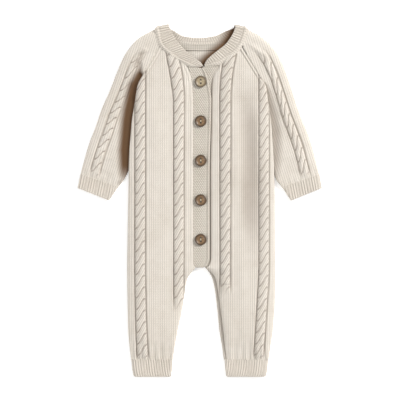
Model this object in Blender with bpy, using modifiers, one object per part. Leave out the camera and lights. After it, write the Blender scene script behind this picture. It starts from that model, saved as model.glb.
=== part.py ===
"""Baby romper in cable knit, buttoned down the front and laid flat on its back.

Metres, +Z up. +Y runs from the ankles to the neck, +X to the wearer's left side.
The origin is the middle of the floor under the garment.
"""
import math

import bmesh
import bpy
import numpy as np
from mathutils import Matrix, Vector

# ---------------------------------------------------------------- driving sizes
GAP = 0.0003             # clearance between neighbouring pieces
PANEL_WALL = 0.0024      # knit of the fronts, the back and the bands
TUBE_WALL = 0.0020       # knit of the sleeves and the ribbed ends
TAPE_WALL = 0.0010       # plain strip inside the back neck
FRONT_LEVEL = 0.0060     # underside of the fronts where they lie highest
BAND_UNDER_LEVEL = 0.0034   # underside of the under band
EDGE_ROUND = 0.012       # reach of the rounding along side and inside-leg edges
TUCK_ROUND = 0.006       # reach of the dip of the left front beside the band
BACK_TOP = PANEL_WALL

BUTTON_RADIUS = 0.0090
BUTTON_THICKNESS = 0.0034
BUTTON_RIM = 0.0018
BUTTON_DISH = 0.0008
BUTTON_HOLE_RADIUS = 0.0010
BUTTON_HOLE_OFFSET = 0.0025
BUTTON_X = 0.0016
BUTTON_FIRST_Y = -0.0612
BUTTON_PITCH = 0.0612
BUTTON_COUNT = 5

RAGLAN = {               # seam line from the underarm up to the neckband
    "right": ((-0.0935, 0.1845), (-0.0610, 0.2415)),
    "left": ((0.0980, 0.1845), (0.0640, 0.2400)),
}

# side edges of the fronts below the underarm: y, wearer's right x, wearer's left x
SIDE_ROWS = (
    (-0.2485, -0.1070, 0.1070),
    (-0.2255, -0.1095, 0.1105),
    (-0.2020, -0.1115, 0.1140),
    (-0.1555, -0.1125, 0.1170),
    (-0.1090, -0.1130, 0.1180),
    (-0.0620, -0.1125, 0.1175),
    (0.0000, -0.1115, 0.1170),
    (0.0235, -0.1110, 0.1165),
    (0.0465, -0.1105, 0.1155),
    (0.0775, -0.1095, 0.1140),
    (0.1010, -0.1075, 0.1125),
    (0.1245, -0.1055, 0.1105),
    (0.1400, -0.1030, 0.1085),
    (0.1555, -0.1005, 0.1060),
    (0.1770, -0.0970, 0.1030),
    (0.1825, -0.0950, 0.1005),
)

# side edges of the back, further in where the sleeves are tucked: y, right x, left x
BACK_SIDE_ROWS = (
    (-0.2485, -0.1065, 0.1065),
    (-0.2020, -0.1110, 0.1135),
    (-0.1555, -0.1120, 0.1165),
    (-0.1090, -0.1125, 0.1175),
    (-0.0620, -0.1120, 0.1170),
    (0.0000, -0.1110, 0.1165),
    (0.0335, -0.1100, 0.1155),
    (0.0575, -0.1066, 0.1112),
    (0.0775, -0.1050, 0.1096),
    (0.1055, -0.1025, 0.1080),
    (0.1320, -0.0990, 0.1050),
    (0.1555, -0.0955, 0.1020),
    (0.1765, -0.0940, 0.0998),
    (0.1835, -0.0928, 0.0975),
)

# inner edge of the right front: inside leg, band seam: y, x
INNER_RIGHT_ROWS = (
    (-0.2485, -0.0420),
    (-0.2255, -0.0385),
    (-0.2020, -0.0340),
    (-0.1785, -0.0290),
    (-0.1555, -0.0250),
    (-0.1400, -0.0230),
    (-0.1305, -0.0215),
    (-0.1210, -0.0185),
    (-0.1150, -0.0145),
    (-0.1090, -0.0100),
    (0.1350, -0.0100),
    (0.1770, -0.0115),
    (0.1925, -0.0140),
    (0.2020, -0.0175),
    (0.2080, -0.0200),
    (0.2125, -0.0215),
)

# inner edge of the left front: inside-leg seam, under-band seam: y, x
INNER_LEFT_ROWS = (
    (-0.2485, 0.0420),
    (-0.2255, 0.0390),
    (-0.2020, 0.0365),
    (-0.1740, 0.0330),
    (-0.1475, 0.0295),
    (-0.1275, 0.0260),
    (-0.1165, 0.0215),
    (-0.1095, 0.0150),
    (-0.1055, 0.0105),
    (-0.1010, 0.0140),
    (-0.0965, 0.0160),
    (-0.0900, 0.0170),
    (0.0465, 0.0165),
    (0.1090, 0.0180),
    (0.1770, 0.0190),
    (0.1895, 0.0205),
    (0.1975, 0.0235),
    (0.2035, 0.0280),
    (0.2100, 0.0305),
    (0.2150, 0.0325),
)

# inside-leg edges of the back up to the top of the crotch: y, right x, left x
CROTCH_ROWS = (
    (-0.2485, -0.0420, 0.0375),
    (-0.2240, -0.0380, 0.0340),
    (-0.2020, -0.0340, 0.0303),
    (-0.1785, -0.0290, 0.0281),
    (-0.1555, -0.0250, 0.0256),
    (-0.1400, -0.0230, 0.0236),
    (-0.1290, -0.0210, 0.0212),
    (-0.1210, -0.0185, 0.0190),
    (-0.1150, -0.0145, 0.0157),
    (-0.1090, -0.0100, 0.0115),
    (-0.1055, -0.0060, 0.0075),
)

# top button band: y, seam edge x, free edge x
BAND_TOP_ROWS = (
    (-0.1035, -0.0070, 0.0095),
    (-0.0980, -0.0095, 0.0130),
    (-0.0900, -0.0097, 0.0150),
    (0.0465, -0.0097, 0.0155),
    (0.1090, -0.0097, 0.0170),
    (0.1350, -0.0097, 0.0177),
    (0.1555, -0.0103, 0.0182),
    (0.1710, -0.0107, 0.0160),
    (0.1770, -0.0111, 0.0149),
    (0.1850, -0.0124, 0.0135),
    (0.1925, -0.0136, 0.0115),
    (0.1995, -0.0163, 0.0090),
    (0.2045, -0.0182, 0.0060),
)

# under button band: y, hidden edge x, seam edge x
BAND_UNDER_ROWS = (
    (-0.1040, -0.0040, 0.0108),
    (-0.1010, -0.0040, 0.0135),
    (-0.0965, -0.0040, 0.0155),
    (-0.0900, -0.0040, 0.0165),
    (0.0465, -0.0040, 0.0160),
    (0.1090, -0.0040, 0.0175),
    (0.1770, -0.0040, 0.0185),
    (0.1895, -0.0040, 0.0200),
    (0.1975, 0.0000, 0.0228),
    (0.2035, 0.0030, 0.0273),
    (0.2055, 0.0050, 0.0283),
)

# right sleeve from its rib to the raglan seam, outer fold, corner line and
# underarm line: outer x, y, corner x, y, underarm x, y, top height
SLEEVE_RIGHT_ROWS = (
    (-0.1860, 0.0395, -0.1680, 0.0335, -0.1270, 0.0195, 0.0052),
    (-0.1800, 0.0620, -0.1630, 0.0550, -0.1170, 0.0335, 0.0058),
    (-0.1715, 0.0900, -0.1525, 0.0825, -0.1075, 0.0575, 0.0062),
    (-0.1630, 0.1120, -0.1425, 0.1040, -0.1060, 0.0775, 0.0064),
    (-0.1535, 0.1400, -0.1340, 0.1315, -0.1035, 0.1055, 0.0066),
    (-0.1410, 0.1680, -0.1225, 0.1585, -0.1000, 0.1320, 0.0068),
    (-0.1300, 0.1960, -0.1100, 0.1865, -0.0975, 0.1555, 0.0070),
    (-0.1225, 0.2145, -0.0975, 0.2080, -0.0965, 0.1680, 0.0074),
    (-0.1115, 0.2340, -0.0835, 0.2250, -0.0958, 0.1765, 0.0078),
    (-0.0945, 0.2525, -0.0700, 0.2370, -0.0950, 0.1808, 0.0082),
    (-0.0805, 0.2605, -0.0645, 0.2405, -0.0945, 0.1830, 0.0084),
    (-0.0664, 0.2675, -0.0613, 0.2418, -0.0938, 0.1845, 0.0084),
)

# left sleeve, the same columns
SLEEVE_LEFT_ROWS = (
    (0.1865, 0.0395, 0.1690, 0.0335, 0.1280, 0.0195, 0.0052),
    (0.1805, 0.0620, 0.1635, 0.0550, 0.1180, 0.0335, 0.0058),
    (0.1730, 0.0900, 0.1540, 0.0825, 0.1121, 0.0575, 0.0062),
    (0.1650, 0.1120, 0.1450, 0.1040, 0.1106, 0.0775, 0.0064),
    (0.1540, 0.1400, 0.1350, 0.1315, 0.1090, 0.1055, 0.0066),
    (0.1450, 0.1680, 0.1265, 0.1585, 0.1060, 0.1320, 0.0068),
    (0.1355, 0.1960, 0.1145, 0.1865, 0.1032, 0.1555, 0.0070),
    (0.1280, 0.2145, 0.1020, 0.2080, 0.1022, 0.1680, 0.0074),
    (0.1170, 0.2340, 0.0875, 0.2240, 0.1012, 0.1765, 0.0078),
    (0.0985, 0.2525, 0.0740, 0.2355, 0.1000, 0.1808, 0.0082),
    (0.0850, 0.2605, 0.0680, 0.2390, 0.0993, 0.1830, 0.0084),
    (0.0725, 0.2668, 0.0643, 0.2403, 0.0983, 0.1845, 0.0084),
)

# wrist ribs, bottom edge then sewn edge: the same columns
CUFF_RIGHT_ROWS = (
    (-0.1905, 0.0185, -0.1755, 0.0130, -0.1410, -0.0010, 0.0050),
    (-0.1861, 0.0390, -0.1681, 0.0330, -0.1271, 0.0190, 0.0052),
)
CUFF_LEFT_ROWS = (
    (0.1905, 0.0185, 0.1755, 0.0130, 0.1420, -0.0010, 0.0050),
    (0.1866, 0.0390, 0.1691, 0.0330, 0.1281, 0.0190, 0.0052),
)

# ankle ribs, bottom edge then sewn edge: y, outer x, inner x, top height
ANKLE_RIGHT_ROWS = (
    (-0.2750, -0.1020, -0.0445, 0.0050),
    (-0.2730, -0.1030, -0.0440, 0.0052),
    (-0.2490, -0.1065, -0.0425, 0.0056),
)
ANKLE_LEFT_ROWS = (
    (-0.2750, 0.1020, 0.0420, 0.0050),
    (-0.2730, 0.1030, 0.0410, 0.0052),
    (-0.2490, 0.1065, 0.0385, 0.0056),
)

# neckband on the right front, from the V up: free edge x, y, sewn edge x, y, mid height
NECK_RIGHT_ROWS = (
    (0.0055, 0.2078, -0.0005, 0.2068, 0.0072),
    (0.0020, 0.2130, -0.0075, 0.2080, 0.0072),
    (-0.0055, 0.2190, -0.0200, 0.2130, 0.0072),
    (-0.0165, 0.2270, -0.0345, 0.2205, 0.0072),
    (-0.0280, 0.2385, -0.0480, 0.2310, 0.0072),
    (-0.0390, 0.2520, -0.0595, 0.2425, 0.0072),
    (-0.0440, 0.2635, -0.0635, 0.2580, 0.0072),
    (-0.0475, 0.2705, -0.0652, 0.2675, 0.0072),
)
# neckband round the back neck, right to left: the same columns
NECK_BACK_ROWS = (
    (-0.0480, 0.2705, -0.0635, 0.2650, 0.0012),
    (-0.0385, 0.2625, -0.0495, 0.2515, 0.0012),
    (-0.0230, 0.2545, -0.0290, 0.2440, 0.0012),
    (0.0005, 0.2525, 0.0005, 0.2420, 0.0012),
    (0.0235, 0.2555, 0.0300, 0.2450, 0.0012),
    (0.0390, 0.2625, 0.0500, 0.2525, 0.0012),
    (0.0535, 0.2700, 0.0685, 0.2650, 0.0012),
)
# neckband on the left front, down to the V: the same columns
NECK_LEFT_ROWS = (
    (0.0550, 0.2700, 0.0705, 0.2665, 0.0072),
    (0.0530, 0.2620, 0.0680, 0.2570, 0.0072),
    (0.0485, 0.2535, 0.0645, 0.2465, 0.0072),
    (0.0400, 0.2420, 0.0550, 0.2315, 0.0072),
    (0.0290, 0.2330, 0.0415, 0.2220, 0.0072),
    (0.0175, 0.2240, 0.0260, 0.2130, 0.0070),
    (0.0105, 0.2170, 0.0150, 0.2080, 0.0058),
    (0.0070, 0.2105, 0.0090, 0.2068, 0.0048),
)
NECK_THICKNESS = 0.0022

# strip inside the back neck: x, lower edge y, upper edge y
TAPE_ROWS = (
    (-0.0480, 0.2330, 0.2440),
    (-0.0240, 0.2325, 0.2430),
    (0.0005, 0.2320, 0.2425),
    (0.0250, 0.2330, 0.2435),
    (0.0490, 0.2345, 0.2450),
)

# height of the outer edge of a front above the floor: y, z of its underside
EDGE_LEVEL_ROWS = (
    (-0.2485, 0.0027),
    (0.0235, 0.0027),
    (0.0440, 0.0048),
    (0.1770, 0.0048),
    (0.1990, 0.0060),
)
# the same for the flat middle of a front
MIDDLE_LEVEL_ROWS = (
    (-0.2485, 0.0032),
    (-0.2255, 0.0050),
    (-0.2020, 0.0060),
    (0.2415, 0.0060),
)
# the same for the inner edge of the right and of the left front
INNER_LEVEL_RIGHT_ROWS = (
    (-0.2485, 0.0027),
    (-0.1305, 0.0027),
    (-0.1050, 0.0060),
)
INNER_LEVEL_LEFT_ROWS = (
    (-0.2485, 0.0027),
    (-0.1095, 0.0027),
    (-0.0965, 0.0034),
    (0.1895, 0.0034),
    (0.2100, 0.0060),
)

# where the columns of a panel lie across it, from one edge to the other
ACROSS = (0.0, 0.03, 0.08, 0.17, 0.34, 0.66, 0.83, 0.92, 0.97, 1.0)
BAND_ACROSS = (0.0, 0.5, 1.0)
TUBE_ACROSS = (0.0, 0.05, 0.14, 0.30, 0.55, 0.76, 0.88, 0.96, 1.0)

# pieces' colours: linear red, green, blue
CREAM = (0.72, 0.66, 0.57)
OATMEAL = (0.66, 0.59, 0.49)
HORN = (0.16, 0.095, 0.045)


# ---------------------------------------------------------------- helpers
def clear_scene():
    """Start from a scene with no objects."""
    for item in list(bpy.data.objects):
        bpy.data.objects.remove(item, do_unlink=True)


def new_collection(name):
    """A collection of its own in the scene."""
    group = bpy.data.collections.new(name)
    bpy.context.scene.collection.children.link(group)
    return group


def material(name, colour, roughness):
    """A plain Principled material."""
    made = bpy.data.materials.new(name)
    made.use_nodes = True
    shader = made.node_tree.nodes["Principled BSDF"]
    shader.inputs["Base Color"].default_value = (*colour, 1.0)
    shader.inputs["Roughness"].default_value = roughness
    shader.inputs["Metallic"].default_value = 0.0
    return made


def column(rows, key, which):
    """One column of a table, read at the value of its first column."""
    keys = [row[0] for row in rows]
    return float(np.interp(key, keys, [row[which] for row in rows]))


def rounding(distance, reach):
    """Rises from 0 at an edge to 1 at its reach, like a quarter circle."""
    t = min(max(distance / reach, 0.0), 1.0)
    return math.sqrt(1.0 - (1.0 - t) ** 2)


def finish_mesh(name, mesh_builder, group, finish, smooth_angle=40.0):
    """Turn a bmesh into a named object with smooth faces and sharp edges."""
    bmesh.ops.recalc_face_normals(mesh_builder, faces=mesh_builder.faces)
    bmesh.ops.triangulate(mesh_builder, faces=mesh_builder.faces)
    mesh = bpy.data.meshes.new(name)
    mesh_builder.to_mesh(mesh)
    mesh_builder.free()
    mesh.shade_smooth()
    mesh.set_sharp_from_angle(angle=math.radians(smooth_angle))
    made = bpy.data.objects.new(name, mesh)
    made.data.materials.append(finish)
    group.objects.link(made)
    return made


def thicken_up(sheet, wall):
    """Close an open sheet into a panel by drawing it straight up."""
    raised = bmesh.ops.extrude_face_region(
        sheet, geom=list(sheet.faces), use_keep_orig=True)
    top = [item for item in raised["geom"] if isinstance(item, bmesh.types.BMVert)]
    bmesh.ops.translate(sheet, verts=top, vec=(0.0, 0.0, wall))


def sheet_of(rows_of_points):
    """An open sheet through rows that all have the same number of points."""
    sheet = bmesh.new()
    grid = [[sheet.verts.new(point) for point in row] for row in rows_of_points]
    for low, high in zip(grid, grid[1:]):
        for at in range(len(low) - 1):
            sheet.faces.new((low[at], low[at + 1], high[at + 1], high[at]))
    return sheet


# ---------------------------------------------------------------- fronts and back
def raglan_x(side, y, ease):
    """x of the raglan seam, moved towards the body by the ease."""
    low, high = RAGLAN[side]
    share = (y - low[1]) / (high[1] - low[1])
    inward = 1.0 if side == "right" else -1.0
    return low[0] + share * (high[0] - low[0]) + inward * ease


def neck_x(side, y):
    """x of a front's neck edge, a little outside the neckband's sewn edge."""
    rows = NECK_RIGHT_ROWS if side == "right" else NECK_LEFT_ROWS
    points = sorted((row[3], row[2]) for row in rows)
    outward = -0.0011 if side == "right" else 0.0011
    return float(np.interp(y, [p[0] for p in points], [p[1] for p in points])) + outward


def front_edges(side, y):
    """Outer and inner x of a front at a height y."""
    which = 1 if side == "right" else 2
    inner_rows = INNER_RIGHT_ROWS if side == "right" else INNER_LEFT_ROWS
    underarm = SIDE_ROWS[-1][0]
    if y <= underarm:
        outer = column(SIDE_ROWS, y, which)
    else:
        outer = raglan_x(side, y, 0.0006)
    if y <= inner_rows[-1][0]:
        inner = column(inner_rows, y, 1)
    else:
        inner = neck_x(side, y)
    return outer, inner


def front_underside(side, outer_distance, inner_distance, y):
    """Height of a front's underside, dropping to its edges."""
    inner_rows = INNER_LEVEL_RIGHT_ROWS if side == "right" else INNER_LEVEL_LEFT_ROWS
    middle = column(MIDDLE_LEVEL_ROWS, y, 1)
    outer_drop = middle - min(column(EDGE_LEVEL_ROWS, y, 1), middle)
    inner_drop = middle - min(column(inner_rows, y, 1), middle)
    crotch = INNER_LEFT_ROWS[8][0]
    reach = EDGE_ROUND if y < crotch or side == "right" else TUCK_ROUND
    level = middle
    level -= outer_drop * (1.0 - rounding(outer_distance, EDGE_ROUND))
    level -= inner_drop * (1.0 - rounding(inner_distance, reach))
    return max(level, BACK_TOP + GAP)


def front_stations(side):
    """Heights y at which a front has a row of points."""
    inner_rows = INNER_RIGHT_ROWS if side == "right" else INNER_LEFT_ROWS
    stations = {row[0] for row in SIDE_ROWS} | {row[0] for row in inner_rows}
    top = RAGLAN[side][1][1]
    stations |= {0.2215, 0.2310, top - 0.0035, top - 0.0008}
    kept = []
    for y in sorted(stations):
        if not kept or y - kept[-1] > 0.0015:
            kept.append(y)
    return kept


def front(side, group, finish):
    """One front with its leg, open along the middle."""
    rows = []
    for y in front_stations(side):
        outer, inner = front_edges(side, y)
        row = []
        for share in ACROSS:
            x = outer + share * (inner - outer)
            z = front_underside(side, abs(x - outer), abs(x - inner), y)
            row.append((x, y, z))
        rows.append(row)
    sheet = sheet_of(rows)
    thicken_up(sheet, PANEL_WALL)
    return finish_mesh("front_" + side, sheet, group, finish)


def back(group, finish):
    """The back with both legs in one piece, flat on the floor."""
    neck_level = 0.2405
    stations = {row[0] for row in BACK_SIDE_ROWS} | {row[0] for row in CROTCH_ROWS}
    stations |= {0.2200, neck_level}
    top_of_crotch = CROTCH_ROWS[-1][0]
    sheet = bmesh.new()
    before = None
    before_y = None
    for y in sorted(stations):
        if y <= BACK_SIDE_ROWS[-1][0]:
            right = column(BACK_SIDE_ROWS, y, 1)
            left = column(BACK_SIDE_ROWS, y, 2)
        else:
            right = raglan_x("right", y, 0.0008)
            left = raglan_x("left", y, 0.0008)
        places = (right, column(CROTCH_ROWS, y, 1), column(CROTCH_ROWS, y, 2), left)
        row = [sheet.verts.new((x, y, 0.0)) for x in places]
        if before:
            closed = before_y >= top_of_crotch
            for at in range(3):
                if at == 1 and not closed:
                    continue
                sheet.faces.new((before[at], before[at + 1], row[at + 1], row[at]))
        before = row
        before_y = y
    thicken_up(sheet, PANEL_WALL)
    return finish_mesh("back", sheet, group, finish)


# ---------------------------------------------------------------- bands, neck tape
def band(name, rows, underside, corner, group, finish):
    """A straight strip between two edges. The corner lifts the seam end of its top row."""
    points = []
    for place, (y, low_x, high_x) in enumerate(rows):
        last = place == len(rows) - 1
        row = []
        for share in BAND_ACROSS:
            lift = corner * (1.0 - share) if last else 0.0
            x = low_x + share * (high_x - low_x)
            row.append((x, y + lift, underside))
        points.append(row)
    sheet = sheet_of(points)
    thicken_up(sheet, PANEL_WALL)
    return finish_mesh(name, sheet, group, finish)


def neck_tape(group, finish):
    """The plain strip along the inside of the back neck."""
    level = BACK_TOP + GAP
    points = [[(x, low, level), (x, high, level)] for x, low, high in TAPE_ROWS]
    sheet = sheet_of(points)
    thicken_up(sheet, TAPE_WALL)
    return finish_mesh("neck_tape", sheet, group, finish)


# ---------------------------------------------------------------- flattened tubes
def along_rail(row_points, share):
    """A point at a share of the way along a row's three plan points."""
    corner_share = 0.30
    outer, corner, inner = row_points
    if share <= corner_share:
        t = share / corner_share
        return outer + t * (corner - outer)
    t = (share - corner_share) / (1.0 - corner_share)
    return corner + t * (inner - corner)


def tube_top(outer_distance, inner_distance, outer_edge, middle, inner_edge):
    """Height of a flattened tube's upper face, lower along both folds."""
    inner_flat = 0.013
    inner_reach = 0.014
    level = outer_edge + (middle - outer_edge) * rounding(outer_distance, 0.008)
    climb = min(max((inner_distance - inner_flat) / inner_reach, 0.0), 1.0)
    climb = climb * climb * (3.0 - 2.0 * climb)
    ceiling = inner_edge + (middle - inner_edge) * climb
    return min(level, ceiling)


def flattened_tube(name, rows, inner_edge, group, finish):
    """A knit tube lying flat: a ring of wall at every row, open at both ends.

    Each row is three plan points, outer fold, corner and inner fold, and a height.
    """
    outer_edge = 0.0036
    inset = 0.0025
    slit = 0.0003
    builder = bmesh.new()
    outside_rings = []
    inside_rings = []
    for outer, corner, inner, middle in rows:
        points = (Vector(outer), Vector(corner), Vector(inner))
        outside_top = []
        outside_floor = []
        inside_top = []
        inside_floor = []
        length = (points[1] - points[0]).length + (points[2] - points[1]).length
        for share in TUBE_ACROSS:
            spot = along_rail(points, share)
            height = tube_top(share * length, (1.0 - share) * length,
                              outer_edge, middle, inner_edge)
            outside_top.append((spot.x, spot.y, height))
            outside_floor.append((spot.x, spot.y, 0.0))
            squeezed = inset / length + share * (1.0 - 2.0 * inset / length)
            spot = along_rail(points, squeezed)
            height = tube_top(squeezed * length, (1.0 - squeezed) * length,
                              outer_edge, middle, inner_edge)
            ceiling = max(height - TUBE_WALL, TUBE_WALL + slit)
            inside_top.append((spot.x, spot.y, ceiling))
            inside_floor.append((spot.x, spot.y, TUBE_WALL))
        outside_rings.append(outside_top + outside_floor[::-1])
        inside_rings.append(inside_top + inside_floor[::-1])
    outside = [[builder.verts.new(p) for p in ring] for ring in outside_rings]
    inside = [[builder.verts.new(p) for p in ring] for ring in inside_rings]
    count = len(outside[0])
    for rings in (outside, inside):
        for low, high in zip(rings, rings[1:]):
            for at in range(count):
                after = (at + 1) % count
                builder.faces.new((low[at], low[after], high[after], high[at]))
    for end in (0, -1):
        for at in range(count):
            after = (at + 1) % count
            builder.faces.new((outside[end][at], outside[end][after],
                               inside[end][after], inside[end][at]))
    return finish_mesh(name, builder, group, finish)


def slanted_rows(table):
    """Rows of a sleeve or a wrist rib as three plan points and a height."""
    rows = []
    for ox, oy, cx, cy, ix, iy, middle in table:
        rows.append(((ox, oy, 0.0), (cx, cy, 0.0), (ix, iy, 0.0), middle))
    return rows


def level_rows(table):
    """Rows of an ankle rib as three plan points and a height."""
    corner_share = 0.30
    rows = []
    for y, outer_x, inner_x, middle in table:
        corner_x = outer_x + corner_share * (inner_x - outer_x)
        rows.append(((outer_x, y, 0.0), (corner_x, y, 0.0), (inner_x, y, 0.0), middle))
    return rows


# ---------------------------------------------------------------- neckband
def neck_sections():
    """Free edge and sewn edge points round the neck, folded over at both shoulders."""
    def spread(rows):
        return [(Vector((a, b, z)), Vector((c, d, z))) for a, b, c, d, z in rows]

    def fold(start, end):
        """Half a turn between the front and the back layer."""
        made = []
        for degrees in (45.0, 90.0, 135.0):
            angle = math.radians(degrees)
            share = (1.0 - math.cos(angle)) / 2.0
            pair = []
            for first, last in zip(start, end):
                middle = first.lerp(last, share)
                reach = abs(first.z - last.z) / 2.0
                middle.y += reach * math.sin(angle)
                pair.append(middle)
            made.append(tuple(pair))
        return made

    right = spread(NECK_RIGHT_ROWS)
    behind = spread(NECK_BACK_ROWS)
    left = spread(NECK_LEFT_ROWS)
    sections = right + fold(right[-1], behind[0]) + behind
    return sections + fold(behind[-1], left[0]) + left


def neckband(group, finish):
    """One ribbed strip from the V round the back neck and down to the V again."""
    sections = neck_sections()
    middles = [(free + sewn) / 2.0 for free, sewn in sections]
    builder = bmesh.new()
    rings = []
    for at, (free, sewn) in enumerate(sections):
        ahead = middles[min(at + 1, len(middles) - 1)]
        behind = middles[max(at - 1, 0)]
        normal = (ahead - behind).cross(sewn - free).normalized()
        offset = normal * (NECK_THICKNESS / 2.0)
        ring = (free + offset, sewn + offset, sewn - offset, free - offset)
        rings.append([builder.verts.new(point) for point in ring])
    for low, high in zip(rings, rings[1:]):
        for at in range(4):
            after = (at + 1) % 4
            builder.faces.new((low[at], low[after], high[after], high[at]))
    builder.faces.new(rings[0])
    builder.faces.new(rings[-1])
    return finish_mesh("neckband", builder, group, finish)


# ---------------------------------------------------------------- buttons
def button_mesh(cutters):
    """A turned button with a raised rim and two sewing holes, standing on z = 0."""
    inner = BUTTON_RADIUS - BUTTON_RIM
    top = BUTTON_THICKNESS
    profile = (
        (0.0, top - BUTTON_DISH),
        (inner - 0.0008, top - BUTTON_DISH),
        (inner, top),
        (BUTTON_RADIUS - 0.0007, top),
        (BUTTON_RADIUS, top - 0.0009),
        (BUTTON_RADIUS - 0.0010, 0.0),
        (0.0, 0.0),
    )
    outline = bpy.data.meshes.new("button_profile")
    points = [(x, 0.0, z) for x, z in profile]
    edges = [(at, at + 1) for at in range(len(points) - 1)]
    outline.from_pydata(points, edges, [])
    turned = bpy.data.objects.new("button_turned", outline)
    bpy.context.scene.collection.objects.link(turned)
    screw = turned.modifiers.new("turn", "SCREW")
    screw.steps = 24
    screw.render_steps = 24
    screw.use_merge_vertices = True
    screw.merge_threshold = 0.00005
    for sign in (-1.0, 1.0):
        drill_mesh = bpy.data.meshes.new("button_drill")
        drill = bmesh.new()
        bmesh.ops.create_cone(drill, cap_ends=True, segments=8,
                              radius1=BUTTON_HOLE_RADIUS, radius2=BUTTON_HOLE_RADIUS,
                              depth=4.0 * top,
                              matrix=Matrix.Translation((0.0, sign * BUTTON_HOLE_OFFSET, 0.0)))
        drill.to_mesh(drill_mesh)
        drill.free()
        cutter = bpy.data.objects.new("button_drill", drill_mesh)
        cutter.hide_render = True
        cutter.display_type = "WIRE"
        cutters.objects.link(cutter)
        cut = turned.modifiers.new("hole", "BOOLEAN")
        cut.operation = "DIFFERENCE"
        cut.object = cutter
    bpy.context.view_layer.update()
    evaluated = turned.evaluated_get(bpy.context.evaluated_depsgraph_get())
    mesh = bpy.data.meshes.new_from_object(evaluated)
    bpy.data.objects.remove(turned, do_unlink=True)
    return mesh


def buttons(group, cutters, finish):
    """Five buttons up the top band, all turned alike."""
    turned = button_mesh(cutters)
    rest = FRONT_LEVEL + PANEL_WALL + GAP
    for number in range(BUTTON_COUNT):
        mesh = turned.copy()
        mesh.shade_smooth()
        mesh.set_sharp_from_angle(angle=math.radians(35.0))
        mesh.materials.clear()
        mesh.materials.append(finish)
        made = bpy.data.objects.new("button_%d" % (number + 1), mesh)
        made.location = (BUTTON_X, BUTTON_FIRST_Y + number * BUTTON_PITCH, rest)
        group.objects.link(made)


# ---------------------------------------------------------------- the garment
def build():
    """Model every piece of the romper."""
    clear_scene()
    garment = new_collection("romper")
    cutters = new_collection("cutters")
    body_knit = material("body_knit", CREAM, 0.9)
    rib_knit = material("rib_knit", CREAM, 0.9)
    band_knit = material("band_knit", OATMEAL, 0.9)
    horn = material("horn", HORN, 0.45)

    back(garment, body_knit)
    for side in ("right", "left"):
        front(side, garment, body_knit)
    band("band_left", BAND_UNDER_ROWS, BAND_UNDER_LEVEL - 0.0002, 0.0,
         garment, band_knit)
    band("band_right", BAND_TOP_ROWS, FRONT_LEVEL, 0.0035, garment, band_knit)
    neck_tape(garment, band_knit)
    neckband(garment, rib_knit)
    underarm_edge = 0.0044
    flattened_tube("sleeve_right", slanted_rows(SLEEVE_RIGHT_ROWS), underarm_edge,
                   garment, body_knit)
    flattened_tube("sleeve_left", slanted_rows(SLEEVE_LEFT_ROWS), underarm_edge,
                   garment, body_knit)
    flattened_tube("cuff_right", slanted_rows(CUFF_RIGHT_ROWS), underarm_edge,
                   garment, rib_knit)
    flattened_tube("cuff_left", slanted_rows(CUFF_LEFT_ROWS), underarm_edge,
                   garment, rib_knit)
    flattened_tube("ankle_right", level_rows(ANKLE_RIGHT_ROWS), underarm_edge,
                   garment, rib_knit)
    flattened_tube("ankle_left", level_rows(ANKLE_LEFT_ROWS), underarm_edge,
                   garment, rib_knit)
    buttons(garment, cutters, horn)


build()
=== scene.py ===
import math

import bmesh
import bpy
import numpy as np
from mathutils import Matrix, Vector


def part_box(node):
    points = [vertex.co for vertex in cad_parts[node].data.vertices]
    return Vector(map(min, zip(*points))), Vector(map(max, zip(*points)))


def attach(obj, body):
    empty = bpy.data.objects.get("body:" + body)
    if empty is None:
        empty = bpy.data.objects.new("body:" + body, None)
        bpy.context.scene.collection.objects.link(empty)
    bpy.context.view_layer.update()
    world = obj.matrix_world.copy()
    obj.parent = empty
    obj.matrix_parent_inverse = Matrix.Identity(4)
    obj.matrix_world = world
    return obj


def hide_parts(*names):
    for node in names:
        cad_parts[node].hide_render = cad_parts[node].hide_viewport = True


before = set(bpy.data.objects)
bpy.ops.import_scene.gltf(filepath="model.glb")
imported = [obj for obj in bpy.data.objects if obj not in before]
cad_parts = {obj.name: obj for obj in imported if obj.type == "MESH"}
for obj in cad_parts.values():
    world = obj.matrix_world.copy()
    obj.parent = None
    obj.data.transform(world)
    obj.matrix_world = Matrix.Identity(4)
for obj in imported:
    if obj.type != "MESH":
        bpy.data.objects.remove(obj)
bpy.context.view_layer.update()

# ---------------------------------------------------------------- sizes, in metres
PANEL_WALL = 0.0024
TUBE_WALL = 0.0018
TAPE_WALL = 0.0010
NECK_THICKNESS = 0.0020
HEM_Y = -0.2485          # lower end of the panels
UNDERARM_Y = 0.183       # above this the fronts are sewn to the sleeves
BAND_FOOT_Y = -0.1055    # above this the fronts are sewn to the button bands
BAND_LEVEL = 0.0060      # underside of the top band
SEAM_EASE = -0.0006      # fronts lie this far over the sleeve ends
EDGE_ROUND = 0.012       # width of a front's slope down to its edges
TUCK_ROUND = 0.006       # the same beside the under band
LOWEST_FRONT = 0.0027    # lowest underside of a front
FRONT_PUFF = 0.0036      # how far a front stands proud between side and band

WALE = 0.0034            # width of one column of stitches
COURSE = 0.0026          # height of one row of stitches
NECK_PITCH = 0.0041      # from rib to rib on the neckband
RIB_PITCH = {"cuff": 0.0043, "ankle": 0.0040}
RIB_DEPTH = {"cuff": 0.00050, "ankle": 0.00045}
RIB_GRID = {"cuff": (34, 110), "ankle": (40, 130)}       # rows and columns of the mesh

CABLE_PERIOD = 0.0179
CABLE_HEIGHT = 0.0030
CABLE_LEAN = 0.50
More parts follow.
